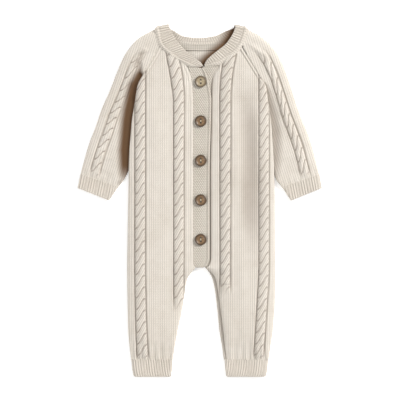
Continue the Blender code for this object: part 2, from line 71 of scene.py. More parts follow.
# where the cables of a front fade out downwards: y of no cable, y of full cable
INNER_CABLE_FADE = {"right": (-0.176, -0.152), "left": (-0.152, -0.130)}
OUTER_CABLE_FADE = (-0.2500, -0.2380)
SLEEVE_CABLE_W = 0.0218  # distance of the sleeve cable's middle from the outer fold
SLEEVE_CABLE_HALF = 0.0072
SLEEVE_AXIS = (0.308, 0.951)
SLEEVE_FLOOR = 0.0022    # height of a sleeve's outer skin at its folds
CORNER_SHARE = 0.30      # share of a tube's columns that lie before its corner
LINK_WIDTH = 0.0048      # strip of linking stitches along the neckband's sewn edge

HOLE_RADIUS = 0.0012
HOLE_OFFSET = 0.0025
BUTTON_TURNS = 64

PICTURE_HEIGHT = 0.6216  # height of floor that the picture takes in
LENS = 100.0
SENSOR = 36.0

# brown of the painted shade in folds, grooves and deep corners of the knit
PAINTED_SHADE_BROWN = (0.140, 0.074, 0.034)
# knit colours, light and dark: the dark tone gives random mottling and is also painted as shade
# in the recesses of the stitches
CREAM = ((0.885, 0.830, 0.757), (0.630, 0.557, 0.460))   # light and dark
RIB = ((0.840, 0.780, 0.700), (0.640, 0.570, 0.480))
BAND = ((0.650, 0.607, 0.540), (0.430, 0.380, 0.315))

SIDES = ("right", "left")                # the wearer's
OUTWARD = {"right": -1.0, "left": 1.0}   # sign of x away from the middle


# ---------------------------------------------------------------- tables, in metres
# ends of the raglan seams, underarm then neck: x, y
RAGLAN = {
    "right": ((-0.0935, 0.1845), (-0.0610, 0.2415)),
    "left": ((0.0980, 0.1845), (0.0640, 0.2400)),
}

# side edges of the fronts below the underarm: y, wearer's right x, wearer's left x
SIDE_ROWS = (
    (-0.2485, -0.1070, 0.1070),
    (-0.2255, -0.1095, 0.1105),
    (-0.2020, -0.1115, 0.1140),
    (-0.1555, -0.1125, 0.1170),
    (-0.1090, -0.1130, 0.1180),
    (-0.0620, -0.1125, 0.1175),
    (0.0000, -0.1115, 0.1170),
    (0.0235, -0.1110, 0.1165),
    (0.0465, -0.1105, 0.1155),
    (0.0775, -0.1095, 0.1140),
    (0.1010, -0.1075, 0.1125),
    (0.1245, -0.1055, 0.1105),
    (0.1400, -0.1030, 0.1085),
    (0.1555, -0.1005, 0.1060),
    (0.1770, -0.0970, 0.1030),
    (0.1825, -0.0950, 0.1005),
)

# side edges of the back: y, right x, left x
BACK_SIDE_ROWS = (
    (-0.2485, -0.1065, 0.1065),
    (-0.2020, -0.1110, 0.1135),
    (-0.1555, -0.1120, 0.1165),
    (-0.1090, -0.1125, 0.1175),
    (-0.0620, -0.1120, 0.1170),
    (0.0000, -0.1110, 0.1165),
    (0.0335, -0.1100, 0.1155),
    (0.0575, -0.1066, 0.1112),
    (0.0775, -0.1050, 0.1096),
    (0.1055, -0.1025, 0.1080),
    (0.1320, -0.0990, 0.1050),
    (0.1555, -0.0955, 0.1020),
    (0.1765, -0.0940, 0.0998),
    (0.1835, -0.0928, 0.0975),
)

# inner edge of the right front: inside leg, band seam: y, x
INNER_RIGHT_ROWS = (
    (-0.2485, -0.0420),
    (-0.2255, -0.0385),
    (-0.2020, -0.0340),
    (-0.1785, -0.0290),
    (-0.1555, -0.0250),
    (-0.1400, -0.0230),
    (-0.1305, -0.0215),
    (-0.1210, -0.0185),
    (-0.1150, -0.0145),
    (-0.1090, -0.0100),
    (-0.1064, -0.0070),
    (-0.1045, -0.0072),
    (-0.1015, -0.0086),
    (-0.0980, -0.0095),
    (-0.0900, -0.0100),
    (0.1350, -0.0100),
    (0.1770, -0.0115),
    (0.1925, -0.0140),
    (0.2020, -0.0175),
    (0.2080, -0.0200),
    (0.2125, -0.0215),
)

# inner edge of the left front: inside-leg seam, under-band seam: y, x
INNER_LEFT_ROWS = (
    (-0.2485, 0.0420),
    (-0.2255, 0.0390),
    (-0.2020, 0.0365),
    (-0.1740, 0.0330),
    (-0.1475, 0.0295),
    (-0.1275, 0.0260),
    (-0.1165, 0.0215),
    (-0.1095, 0.0150),
    (-0.1055, 0.0105),
    (-0.1010, 0.0140),
    (-0.0965, 0.0160),
    (-0.0900, 0.0170),
    (0.0465, 0.0165),
    (0.1090, 0.0180),
    (0.1770, 0.0190),
    (0.1895, 0.0205),
    (0.1975, 0.0235),
    (0.2035, 0.0280),
    (0.2100, 0.0305),
    (0.2150, 0.0325),
)

# inside-leg edges of the back up to the top of the crotch: y, right x, left x
CROTCH_ROWS = (
    (-0.2485, -0.0420, 0.0375),
    (-0.2240, -0.0380, 0.0340),
    (-0.2020, -0.0340, 0.0303),
    (-0.1785, -0.0290, 0.0281),
    (-0.1555, -0.0250, 0.0256),
    (-0.1400, -0.0230, 0.0236),
    (-0.1290, -0.0210, 0.0212),
    (-0.1210, -0.0185, 0.0190),
    (-0.1150, -0.0145, 0.0157),
    (-0.1090, -0.0100, 0.0115),
    (-0.1046, -0.0065, 0.0075),
)

# top button band: y, seam edge x, free edge x
BAND_TOP_ROWS = (
    (-0.1050, -0.0055, 0.0055),
    (-0.1034, -0.0075, 0.0095),
    (-0.0980, -0.0095, 0.0130),
    (-0.0900, -0.0097, 0.0150),
    (0.0465, -0.0097, 0.0155),
    (0.1090, -0.0097, 0.0170),
    (0.1350, -0.0097, 0.0177),
    (0.1555, -0.0103, 0.0182),
    (0.1710, -0.0107, 0.0160),
    (0.1770, -0.0111, 0.0149),
    (0.1850, -0.0124, 0.0135),
    (0.1925, -0.0136, 0.0115),
    (0.1995, -0.0163, 0.0090),
    (0.2045, -0.0182, 0.0060),
)

# under button band: y, hidden edge x, seam edge x
BAND_UNDER_ROWS = (
    (-0.1040, -0.0040, 0.0108),
    (-0.1010, -0.0040, 0.0135),
    (-0.0965, -0.0040, 0.0155),
    (-0.0900, -0.0040, 0.0165),
    (0.0465, -0.0040, 0.0160),
    (0.1090, -0.0040, 0.0175),
    (0.1770, -0.0040, 0.0185),
    (0.1895, -0.0040, 0.0210),
    (0.1935, -0.0020, 0.0243),
    (0.1975, 0.0000, 0.0283),
    (0.2035, 0.0030, 0.0328),
    (0.2055, 0.0050, 0.0343),
)

# sleeves from the rib to the raglan seam: outer x, y, corner x, y, underarm x, y, top height
SLEEVE_RIGHT_ROWS = (
    (-0.1860, 0.0395, -0.1680, 0.0335, -0.1270, 0.0195, 0.0052),
    (-0.1800, 0.0620, -0.1630, 0.0550, -0.1170, 0.0335, 0.0066),
    (-0.1715, 0.0900, -0.1525, 0.0825, -0.1075, 0.0575, 0.0080),
    (-0.1630, 0.1120, -0.1425, 0.1040, -0.1060, 0.0775, 0.0088),
    (-0.1535, 0.1400, -0.1340, 0.1315, -0.1035, 0.1055, 0.0092),
    (-0.1410, 0.1680, -0.1225, 0.1585, -0.1000, 0.1320, 0.0094),
    (-0.1300, 0.1960, -0.1100, 0.1865, -0.0975, 0.1555, 0.0094),
    (-0.1225, 0.2145, -0.0975, 0.2080, -0.0965, 0.1680, 0.0094),
    (-0.1115, 0.2340, -0.0835, 0.2250, -0.0958, 0.1765, 0.0094),
    (-0.0945, 0.2525, -0.0700, 0.2370, -0.0950, 0.1808, 0.0094),
    (-0.0805, 0.2605, -0.0645, 0.2405, -0.0945, 0.1830, 0.0094),
    (-0.0664, 0.2675, -0.0613, 0.2418, -0.0938, 0.1845, 0.0092),
)
SLEEVE_LEFT_ROWS = (
    (0.1865, 0.0395, 0.1690, 0.0335, 0.1280, 0.0195, 0.0052),
    (0.1805, 0.0620, 0.1635, 0.0550, 0.1180, 0.0335, 0.0066),
    (0.1730, 0.0900, 0.1540, 0.0825, 0.1121, 0.0575, 0.0080),
    (0.1650, 0.1120, 0.1450, 0.1040, 0.1106, 0.0775, 0.0086),
    (0.1540, 0.1400, 0.1350, 0.1315, 0.1090, 0.1055, 0.0090),
    (0.1450, 0.1680, 0.1265, 0.1585, 0.1060, 0.1320, 0.0090),
    (0.1355, 0.1960, 0.1145, 0.1865, 0.1032, 0.1555, 0.0090),
    (0.1280, 0.2145, 0.1020, 0.2080, 0.1022, 0.1680, 0.0090),
    (0.1170, 0.2340, 0.0875, 0.2240, 0.1012, 0.1765, 0.0090),
    (0.0985, 0.2525, 0.0740, 0.2355, 0.1000, 0.1808, 0.0092),
    (0.0850, 0.2605, 0.0680, 0.2390, 0.0993, 0.1830, 0.0092),
    (0.0725, 0.2668, 0.0643, 0.2403, 0.0983, 0.1845, 0.0092),
)

# ribbed ends, bottom edge then sewn edge, the same columns
CUFF_RIGHT_ROWS = (
    (-0.1905, 0.0185, -0.1755, 0.0130, -0.1410, -0.0010, 0.0050),
    (-0.1858, 0.0405, -0.1678, 0.0345, -0.1268, 0.0205, 0.0054),
)
CUFF_LEFT_ROWS = (
    (0.1905, 0.0185, 0.1755, 0.0130, 0.1420, -0.0010, 0.0050),
    (0.1863, 0.0405, 0.1688, 0.0345, 0.1278, 0.0205, 0.0054),
)
ANKLE_RIGHT_ROWS = (
    (-0.1020, -0.2750, -0.0848, -0.2750, -0.0445, -0.2750, 0.0050),
    (-0.1034, -0.2725, -0.0857, -0.2725, -0.0440, -0.2725, 0.0054),
    (-0.1068, -0.2473, -0.0875, -0.2473, -0.0421, -0.2473, 0.0058),
)
ANKLE_LEFT_ROWS = (
    (0.1020, -0.2750, 0.0840, -0.2750, 0.0420, -0.2750, 0.0050),
    (0.1034, -0.2725, 0.0850, -0.2725, 0.0410, -0.2725, 0.0054),
    (0.1068, -0.2473, 0.0863, -0.2473, 0.0383, -0.2473, 0.0058),
)

# neckband on the right front, from the V up: free edge x, y, sewn edge x, y, mid height
NECK_RIGHT_ROWS = (
    (0.0055, 0.2078, -0.0005, 0.2068, 0.0074),
    (0.0020, 0.2130, -0.0075, 0.2080, 0.0074),
    (-0.0055, 0.2190, -0.0200, 0.2130, 0.0074),
    (-0.0165, 0.2270, -0.0345, 0.2205, 0.0076),
    (-0.0280, 0.2385, -0.0480, 0.2310, 0.0078),
    (-0.0390, 0.2520, -0.0595, 0.2425, 0.0078),
    (-0.0440, 0.2635, -0.0635, 0.2580, 0.0076),
    (-0.0475, 0.2700, -0.0652, 0.2670, 0.0072),
)
# neckband round the back neck, right to left: the same columns
NECK_BACK_ROWS = (
    (-0.0480, 0.2700, -0.0635, 0.2650, 0.0020),
    (-0.0385, 0.2625, -0.0495, 0.2515, 0.0018),
    (-0.0230, 0.2545, -0.0290, 0.2440, 0.0018),
    (0.0005, 0.2525, 0.0005, 0.2420, 0.0018),
    (0.0235, 0.2555, 0.0300, 0.2450, 0.0018),
    (0.0390, 0.2625, 0.0500, 0.2525, 0.0018),
    (0.0535, 0.2695, 0.0685, 0.2645, 0.0020),
)
# neckband on the left front, down to the V: the same columns
NECK_LEFT_ROWS = (
    (0.0550, 0.2695, 0.0705, 0.2660, 0.0072),
    (0.0530, 0.2620, 0.0680, 0.2570, 0.0076),
    (0.0485, 0.2535, 0.0645, 0.2465, 0.0078),
    (0.0400, 0.2420, 0.0550, 0.2315, 0.0078),
    (0.0290, 0.2330, 0.0415, 0.2220, 0.0076),
    (0.0175, 0.2240, 0.0260, 0.2130, 0.0072),
    (0.0105, 0.2170, 0.0150, 0.2080, 0.0058),
    (0.0070, 0.2105, 0.0090, 0.2068, 0.0048),
)

# strip inside the back neck: x, lower edge y, upper edge y
TAPE_ROWS = (
    (-0.0480, 0.2330, 0.2440),
    (-0.0240, 0.2325, 0.2430),
    (0.0005, 0.2320, 0.2425),
    (0.0250, 0.2330, 0.2435),
    (0.0490, 0.2345, 0.2450),
)

# underside heights of the fronts: y, z, at the side edge, in the middle, at the inner edge
EDGE_LEVEL_ROWS = ((-0.2485, 0.0027), (0.0235, 0.0027), (0.0440, 0.0048),
                   (0.1770, 0.0048), (0.1990, 0.0060))
MIDDLE_LEVEL_ROWS = ((-0.2485, 0.0032), (-0.2255, 0.0050), (-0.2020, 0.0060),
                     (0.2415, 0.0060))
INNER_LEVEL_RIGHT_ROWS = ((-0.2485, 0.0027), (-0.1305, 0.0027), (-0.1050, 0.0060))
INNER_LEVEL_LEFT_ROWS = ((-0.2485, 0.0027), (-0.1095, 0.0027), (-0.0965, 0.0034),
                         (0.1895, 0.0034), (0.2100, 0.0060))

# cables of the fronts, wearer's right then left: y, x of the middle, half width
CABLES = {
    "right": (
        ((-0.2485, -0.0885, 0.0086), (-0.1700, -0.0915, 0.0082), (-0.1000, -0.0925, 0.0081),
         (0.2000, -0.0925, 0.0081)),
        ((-0.1500, -0.0325, 0.0078), (0.1550, -0.0325, 0.0084), (0.1865, -0.0355, 0.0092),
         (0.2253, -0.0425, 0.0094)),
    ),
    "left": (
        ((-0.2485, 0.0910, 0.0074), (-0.1700, 0.0960, 0.0078), (-0.1000, 0.0996, 0.0080),
         (0.2000, 0.0996, 0.0080)),
        ((-0.1500, 0.0395, 0.0078), (0.1550, 0.0395, 0.0084), (0.1865, 0.0410, 0.0086),
         (0.2253, 0.0470, 0.0090)),
    ),
}

# deep fold between sleeve and body, lowered and given painted shade: y, its start and its end
# outward from the body's edge
WEDGE_ROWS = {
    "right": ((-0.300, -0.020, 0.0040), (0.020, -0.020, 0.0110), (0.0400, -0.020, 0.0150),
              (0.0777, -0.020, 0.0180), (0.1100, -0.020, 0.0180), (0.1400, -0.020, 0.0180),
              (0.1700, -0.020, 0.0165),
              (0.1860, -0.012, 0.0150), (0.2000, 0.0060, 0.0145), (0.2120, 0.0135, 0.0155),
              (0.2230, 0.0220, 0.0100)),
    "left": ((-0.300, -0.020, 0.0040), (0.020, -0.020, 0.0040), (0.0777, -0.020, 0.0105),
             (0.1100, -0.020, 0.0120), (0.1400, -0.020, 0.0085), (0.1700, -0.020, 0.0035),
             (0.1860, -0.010, -0.0030), (0.1980, 0.0100, -0.0100)),
}
# painted shade in hollows of the right sleeve, at the shoulder and by its lower inner edge: from
# x, y, to x, y, half width, depth of shade
SLEEVE_HOLLOW_SHADE = (
    (-0.086, 0.2370, -0.105, 0.1980, 0.0045, 0.38),
    (-0.098, 0.2180, -0.088, 0.2050, 0.0030, 0.20),
    (-0.1135, 0.0420, -0.1285, 0.0205, 0.0042, 0.42),
)
# soft folds of the sleeves, the same columns as below
SLEEVE_FOLDS = {
    "right": (
        (-0.084, 0.2350, -0.106, 0.2080, 0.0030, -0.0030),
        (-0.099, 0.2250, -0.120, 0.1900, 0.0040, 0.0012),
        (-0.090, 0.2230, -0.100, 0.2080, 0.0022, -0.0018),
        (-0.080, 0.2360, -0.096, 0.2260, 0.0030, 0.0016),
        (-0.150, 0.1320, -0.128, 0.1200, 0.0040, -0.0010),
        (-0.170, 0.0950, -0.135, 0.0800, 0.0050, -0.0009),
        (-0.165, 0.0700, -0.125, 0.0620, 0.0040, 0.0008),
        (-0.178, 0.0560, -0.135, 0.0350, 0.0040, -0.0008),
    ),
    "left": (
        (0.072, 0.2450, 0.109, 0.2190, 0.0035, 0.0018),
        (0.082, 0.2330, 0.104, 0.2140, 0.0030, -0.0005),
        (0.120, 0.1700, 0.135, 0.1150, 0.0045, 0.0008),
        (0.165, 0.1000, 0.130, 0.0850, 0.0050, -0.0009),
        (0.170, 0.0720, 0.125, 0.0640, 0.0040, 0.0008),
        (0.178, 0.0560, 0.135, 0.0350, 0.0040, -0.0008),
    ),
}

# soft folds of the fronts: from x, y, to x, y, half width, height
FRONT_FOLDS = {
    "right": (
        (-0.072, 0.175, -0.060, 0.010, 0.013, 0.0014),
        (-0.020, 0.165, -0.019, 0.020, 0.006, -0.0008),
        (-0.056, -0.020, -0.062, -0.160, 0.010, 0.0009),
        (-0.100, 0.060, -0.090, -0.060, 0.008, -0.0006),
        (-0.030, -0.095, -0.090, -0.130, 0.010, -0.0005),
        (-0.055, -0.190, -0.070, -0.245, 0.007, -0.0008),
        (-0.078, 0.165, -0.045, 0.120, 0.007, -0.0005),
    ),
    "left": (
        (0.070, 0.200, 0.081, -0.100, 0.014, -0.0040),
        (0.089, 0.165, 0.091, 0.010, 0.006, 0.0014),
        (0.055, 0.165, 0.058, -0.040, 0.007, 0.0016),
        (0.062, -0.050, 0.068, -0.180, 0.010, 0.0010),
        (0.030, -0.105, 0.085, -0.140, 0.009, -0.0005),
        (0.060, -0.195, 0.055, -0.245, 0.007, -0.0008),
    ),
}

# broad painted shade in the hollows of the left front: from x, y, to x, y, half width, depth of
# shade
FRONT_HOLLOW_SHADE = (
    (0.072, 0.215, 0.083, -0.120, 0.0150, 0.30),
    (0.066, 0.060, 0.074, -0.060, 0.0080, 0.10),
)

# turned profile from the middle of the face to the middle of the underside: radius, height
BUTTON_PROFILE = (
    (0.0000, 0.0023), (0.0020, 0.0023), (0.0042, 0.0024), (0.0058, 0.0026), (0.0066, 0.0031),
    (0.0072, 0.00335), (0.0079, 0.0034), (0.0085, 0.00325), (0.0089, 0.0028), (0.0090, 0.0021),
    (0.0086, 0.0010), (0.0078, 0.0003), (0.0066, 0.0000), (0.0000, 0.0000),
)

INNER_ROWS = {"right": INNER_RIGHT_ROWS, "left": INNER_LEFT_ROWS}
INNER_LEVEL_ROWS = {"right": INNER_LEVEL_RIGHT_ROWS, "left": INNER_LEVEL_LEFT_ROWS}
SLEEVE_ROWS = {"right": SLEEVE_RIGHT_ROWS, "left": SLEEVE_LEFT_ROWS}
NECK_ROWS = {"right": NECK_RIGHT_ROWS, "back": NECK_BACK_ROWS, "left": NECK_LEFT_ROWS}
RIBBED_ROWS = {
    "cuff_right": CUFF_RIGHT_ROWS,
    "cuff_left": CUFF_LEFT_ROWS,
    "ankle_right": ANKLE_RIGHT_ROWS,
    "ankle_left": ANKLE_LEFT_ROWS,
}


# ---------------------------------------------------------------- numeric helpers
def smooth_curve(keys, values):
    """A smooth curve through points that never overshoots between two of them."""
    keys = np.asarray(keys, float)
    values = np.asarray(values, float)
    step = np.diff(keys)
    slope = np.diff(values) / step
    tangent = np.empty_like(values)
    tangent[0] = slope[0]
    tangent[-1] = slope[-1]
    for at in range(1, len(keys) - 1):
        before, after = slope[at - 1], slope[at]
        if before * after <= 0.0:
            tangent[at] = 0.0
        else:
            first = 2.0 * step[at] + step[at - 1]
            second = step[at] + 2.0 * step[at - 1]
            tangent[at] = (first + second) / (first / before + second / after)

    def read(at):
        at = np.clip(np.asarray(at, float), keys[0], keys[-1])
        left = np.clip(np.searchsorted(keys, at, side="right") - 1, 0, len(keys) - 2)
        width = step[left]
        t = (at - keys[left]) / width
        return ((2 * t**3 - 3 * t**2 + 1) * values[left]
                + (t**3 - 2 * t**2 + t) * width * tangent[left]
                + (3 * t**2 - 2 * t**3) * values[left + 1]
                + (t**3 - t**2) * width * tangent[left + 1])
    return read


def column(rows, which, at):
    """One column of a table over its first column, as a smooth curve."""
    return smooth_curve([row[0] for row in rows], [row[which] for row in rows])(at)


def straight(rows, which, at):
    """One column of a table over its first column, by straight lines."""
    return np.interp(at, [row[0] for row in rows], [row[which] for row in rows])


def rounding(distance, reach):
    """Rises from 0 at an edge to 1 at its reach, like a quarter circle."""
    t = np.clip(distance / reach, 0.0, 1.0)
    return np.sqrt(1.0 - (1.0 - t) ** 2)


def smooth_step(t):
    """Rises from 0 to 1 with flat ends."""
    t = np.clip(t, 0.0, 1.0)
    return t * t * (3.0 - 2.0 * t)


def bell(distance, width):
    """A soft hump of height 1."""
    return np.exp(-(distance / width) ** 2)


def wave(distance, pitch):
    """A cosine that repeats at a pitch."""
    return np.cos(distance * 2.0 * math.pi / pitch)


def ribs(distance, pitch):
    """Blunt ribs from -1 to 1, and a shade of 1 in the dips between them."""
    swing = wave(distance, pitch)
    return np.sign(swing) * np.abs(swing) ** 0.7, smooth_step(-swing)


def distance_along(points):
    """Distance along a chain of points, from 0."""
    steps = np.linalg.norm(np.diff(points, axis=0), axis=1)
    return np.concatenate([[0.0], np.cumsum(steps)])


def closer_at_edges(count, *extra):
    """Even shares from 0 to 1, with extra ones near both ends."""
    extra = np.array(extra)
    return np.unique(np.concatenate([np.linspace(0.0, 1.0, count), extra, 1.0 - extra]))


def stack(*columns):
    """Arrays of like shape side by side."""
    return np.stack(np.broadcast_arrays(*columns), axis=-1)


# ---------------------------------------------------------------- mesh helpers
def add_object(name, data):
    """Link a new object into the scene."""
    made = bpy.data.objects.new(name, data)
    bpy.context.scene.collection.objects.link(made)
    return made


def finished_mesh(source):
    """The mesh of an object with its modifiers or its bevel made real. The object goes."""
    bpy.context.view_layer.update()
    evaluated = source.evaluated_get(bpy.context.evaluated_depsgraph_get())
    mesh = bpy.data.meshes.new_from_object(evaluated)
    bpy.data.objects.remove(source, do_unlink=True)
    mesh.shade_smooth()
    return mesh


def mesh_piece(name, points, groups, knit, material):
    """A smooth object from groups of faces, with its stitch coordinates and its shade."""
    used = np.unique(np.concatenate([group.ravel() for group in groups]))
    renumber = np.zeros(len(points), int)
    renumber[used] = np.arange(len(used))
    faces = [face for group in groups for face in renumber[group].tolist()]
    mesh = bpy.data.meshes.new(name)
    mesh.from_pydata(points[used].tolist(), [], faces)
    builder = bmesh.new()
    builder.from_mesh(mesh)
    bmesh.ops.recalc_face_normals(builder, faces=builder.faces)
    builder.to_mesh(mesh)
    builder.free()
    layer = mesh.attributes.new("knit", "FLOAT_VECTOR", "POINT")
    layer.data.foreach_set("vector", knit[used].astype(np.float32).ravel())
    mesh.shade_smooth()
    mesh.materials.append(material)
    return add_object(name, mesh)


def grid_quads(index):
    """Quads of a grid of vertex numbers."""
    return stack(index[:-1, :-1], index[:-1, 1:], index[1:, 1:], index[1:, :-1]).reshape(-1, 4)


def one_list(grids):
    """The points of several grids in one list."""
    return np.concatenate([grid.reshape(-1, 3) for grid in grids])


def closed_sheet(name, top, bottom, knit_top, knit_bottom, material, keep=None):
    """Close two like grids of points into one thin shell. keep leaves out some quads."""
    rows, columns = top.shape[:2]
    count = rows * columns
    quads = grid_quads(np.arange(count).reshape(rows, columns))
    if keep is not None:
        quads = quads[keep.ravel()]
    sides = np.concatenate([quads[:, [0, 1]], quads[:, [1, 2]],
                            quads[:, [2, 3]], quads[:, [3, 0]]])
    first, uses = np.unique(np.sort(sides, axis=1), axis=0, return_index=True,
                            return_counts=True)[1:]
    rim = sides[first[uses == 1]]
    walls = np.stack([rim[:, 1], rim[:, 0], rim[:, 0] + count, rim[:, 1] + count], axis=1)
    faces = np.concatenate([quads, quads[:, ::-1] + count, walls])
    return mesh_piece(name, one_list([top, bottom]), [faces],
                      one_list([knit_top, knit_bottom]), material)


def closed_tube(name, skins, knits, material):
    """Close four grids, outer top and floor, inner top and floor, into a flattened tube.

    The grids have the same rows. The two outer ones share their edge columns, and so
    do the two inner ones.
    """
    indices = []
    start = 0
    for grid in skins:
        rows, columns = grid.shape[:2]
        indices.append(start + np.arange(rows * columns).reshape(rows, columns))
        start += rows * columns
    outer_top, outer_floor, inner_top, inner_floor = indices
    for upper, lower in ((outer_top, outer_floor), (inner_top, inner_floor)):
        lower[:, [0, -1]] = upper[:, [0, -1]]
    groups = [grid_quads(outer_top), grid_quads(outer_floor)[:, ::-1],
              grid_quads(inner_top)[:, ::-1], grid_quads(inner_floor)]
    for end in (0, -1):
        for outer, inner in ((outer_top, inner_top), (outer_floor, inner_floor)):
            groups.append(np.concatenate([outer[end], inner[end][::-1]])[None, :])
    return mesh_piece(name, one_list(skins), groups, one_list(knits), material)


# ---------------------------------------------------------------- knitted relief
def cable_relief(across, along, half_width):
    """Height and painted shade of a rope cable with a channel and a raised column on each side.
    The shade lies where the strands cross and in the channels.
    """
    c = across / half_width
    phase = along / CABLE_PERIOD - CABLE_LEAN * (c + 0.24 * np.sin(math.pi * c))
    swing = np.abs(np.sin(math.pi * phase))
    lobe = swing ** 0.52
    bulge = 1.0 + 0.07 * (lobe - 0.6)
    inside = np.clip(1.0 - np.abs(c / bulge) ** 2.6, 0.0, 1.0)
    beyond = np.abs(across) - half_width
    channel = bell(beyond - 0.0003, 0.0011)
    height = (CABLE_HEIGHT * inside * (0.22 + 0.78 * lobe) - 0.0013 * channel
              + 0.0004 * bell(beyond - 0.0030, 0.0012))
    crossing = bell(swing, 0.18) * (np.abs(c) < 1.0)
    # painted shade where the strands cross and in the channels beside the cable
    painted_shade = np.maximum(0.72 * crossing * smooth_step((1.05 - np.abs(c)) / 0.3),
                        0.36 * channel)
    return height, painted_shade


def folds(x, y, table):
    """Soft troughs and ridges that fade at both ends; tables of shade depths give soft bands of
    painted shade in the same way.
    """
    height = np.zeros_like(x)
    for x0, y0, x1, y1, width, rise in table:
        dx, dy = x1 - x0, y1 - y0
        length = math.hypot(dx, dy)
        t = ((x - x0) * dx + (y - y0) * dy) / length**2
        off = ((x - x0) * dy - (y - y0) * dx) / length
        fade = smooth_step(t / 0.35) * smooth_step((1.0 - t) / 0.35)
        height += rise * bell(off, width) * fade
    return height


def neck_shadow(x, y):
    """1 in the deep corner inside the neck below the left front's neckband, 0 away from it."""
    edge = straight(sorted((row[1], row[0]) for row in NECK_ROWS["left"]), 1, y)
    reach = smooth_step((x - (edge - 0.027)) / 0.025)
    return reach ** 1.3 * smooth_step((y - 0.196) / 0.01)


# ---------------------------------------------------------------- fronts
def raglan_x(side, y, ease):
    """x of the raglan seam, moved towards the body by the ease."""
    low, high = RAGLAN[side]
    share = (y - low[1]) / (high[1] - low[1])
    return low[0] + share * (high[0] - low[0]) - OUTWARD[side] * ease


def outer_x(side, y, rows, ease):
    """x of a panel's outer edge: its side seam, and the raglan seam above that."""
    side_seam = column(rows, 1 + SIDES.index(side), y)
    return np.where(y <= rows[-1][0], side_seam, raglan_x(side, y, ease))


def inner_x(side, y):
    """x of a front's inner edge: leg and band, then just outside the neckband's sewn edge."""
    rows = INNER_ROWS[side]
    neck = straight(sorted((row[3], row[2]) for row in NECK_ROWS[side]), 1, y)
    return np.where(y <= rows[-1][0], column(rows, 1, y), neck + 0.0006 * OUTWARD[side])


def front_underside(side, outer_distance, inner_distance, y):
    """Height of a front's underside, dropping to its edges."""
    middle = column(MIDDLE_LEVEL_ROWS, 1, y)
    outer_drop = middle - np.minimum(column(EDGE_LEVEL_ROWS, 1, y), middle)
    inner_drop = middle - np.minimum(column(INNER_LEVEL_ROWS[side], 1, y), middle)
    tucked = (side == "left") & (y > BAND_FOOT_Y)
    reach = np.where(tucked, TUCK_ROUND, EDGE_ROUND)
    level = middle - outer_drop * (1.0 - rounding(outer_distance, EDGE_ROUND))
    level = level - inner_drop * (1.0 - rounding(inner_distance, reach))
    return np.maximum(level, LOWEST_FRONT)


def front_relief(side, x, y, outer_distance, inner_distance):
    """Height, painted shade and wale number of a front: cables, seam strips and gathers."""
    height = np.zeros_like(x)
    painted_shade = np.zeros_like(x)
    wale = x / WALE
    for rows, fade_ends in zip(CABLES[side], (OUTER_CABLE_FADE, INNER_CABLE_FADE[side])):
        middle = column(rows, 1, y)
        half = column(rows, 2, y)
        low, high = fade_ends
        strength = smooth_step((y - low) / (high - low))
        rope, groove_shade = cable_relief(x - middle, y, half)
        height += rope * strength
        painted_shade = np.maximum(painted_shade, groove_shade * strength)
        inside = np.abs(x - middle) < half
        if fade_ends != OUTER_CABLE_FADE:
            inside = inside & (y > high)
        wale = np.where(inside, (x - 0.55 * y) / WALE, wale)
    if side == "left":
        # painted shade in the broad hollows of the left front
        painted_shade = np.maximum(painted_shade, folds(x, y, FRONT_HOLLOW_SHADE))
    above_underarm = smooth_step((y - 0.180) / 0.006)
    strip = outer_distance * 0.87
    height += above_underarm * (-0.0007 * bell(strip - 0.0058, 0.0009)
                                + 0.0009 * bell(strip - 0.0034, 0.0014)
                                - 0.0004 * bell(strip - 0.0012, 0.0007))
    # painted shade in the groove of the raglan seam strip
    painted_shade = np.maximum(painted_shade, 0.14 * above_underarm * bell(strip - 0.0058, 0.0010))
    if side == "right":
        above_crotch = smooth_step((y + 0.095) / 0.01)
        height += above_crotch * (-0.0006 * bell(inner_distance - 0.0055, 0.0008)
                                  + 0.0004 * bell(inner_distance - 0.0030, 0.0016))
    gather = smooth_step((-0.210 - y) / 0.030)
    height += 0.0004 * smooth_step((-0.232 - y) / 0.014) * wave(x, RIB_PITCH["ankle"])
    height += 0.0006 * gather * np.sin(x * 2.0 * math.pi / 0.0093 + 3.0 * np.sin(60.0 * x))
    fade = smooth_step(np.minimum(outer_distance, inner_distance) / 0.0022)
    return height * fade, painted_shade, wale


def front(side, material):
    """One front with its leg."""
    y = np.linspace(HEM_Y + 0.0001, RAGLAN[side][1][1] - 0.0006, 400)[:, None]
    share = closer_at_edges(106, 0.003, 0.0072)[None, :]
    outer = outer_x(side, y, SIDE_ROWS, SEAM_EASE)
    inner = inner_x(side, y)
    x = outer + share * (inner - outer)
    y = y + 0.0 * x
    outer_distance = np.abs(x - outer)
    inner_distance = np.abs(x - inner)
    under = front_underside(side, outer_distance, inner_distance, y)
    nearest = np.minimum(outer_distance, inner_distance)
    seamed = (y > UNDERARM_Y) & (outer_distance < inner_distance)
    if side == "right":
        seamed = seamed | ((y > BAND_FOOT_Y) & (inner_distance < outer_distance))
    wall = PANEL_WALL * np.where(seamed, 0.80 + 0.20 * rounding(nearest, 0.0014),
                                 0.45 + 0.55 * rounding(nearest, 0.0020))
    spread = np.clip(np.abs(inner - outer) / 0.09, 0.0, 1.0) * smooth_step((y - HEM_Y) / 0.035)
    puff = FRONT_PUFF * spread * np.sin(math.pi * share) ** 0.75
    soft = folds(x, y, FRONT_FOLDS[side]) * smooth_step(nearest / 0.01)
    relief, shade, wale = front_relief(side, x, y, outer_distance, inner_distance)
    top = np.maximum(under + wall + puff + soft + relief, under + 0.0008)
    knit = stack(wale, y / COURSE, shade)
    return closed_sheet("front_%s_knit" % side, stack(x, y, top), stack(x, y, under),
                        knit, knit, material)


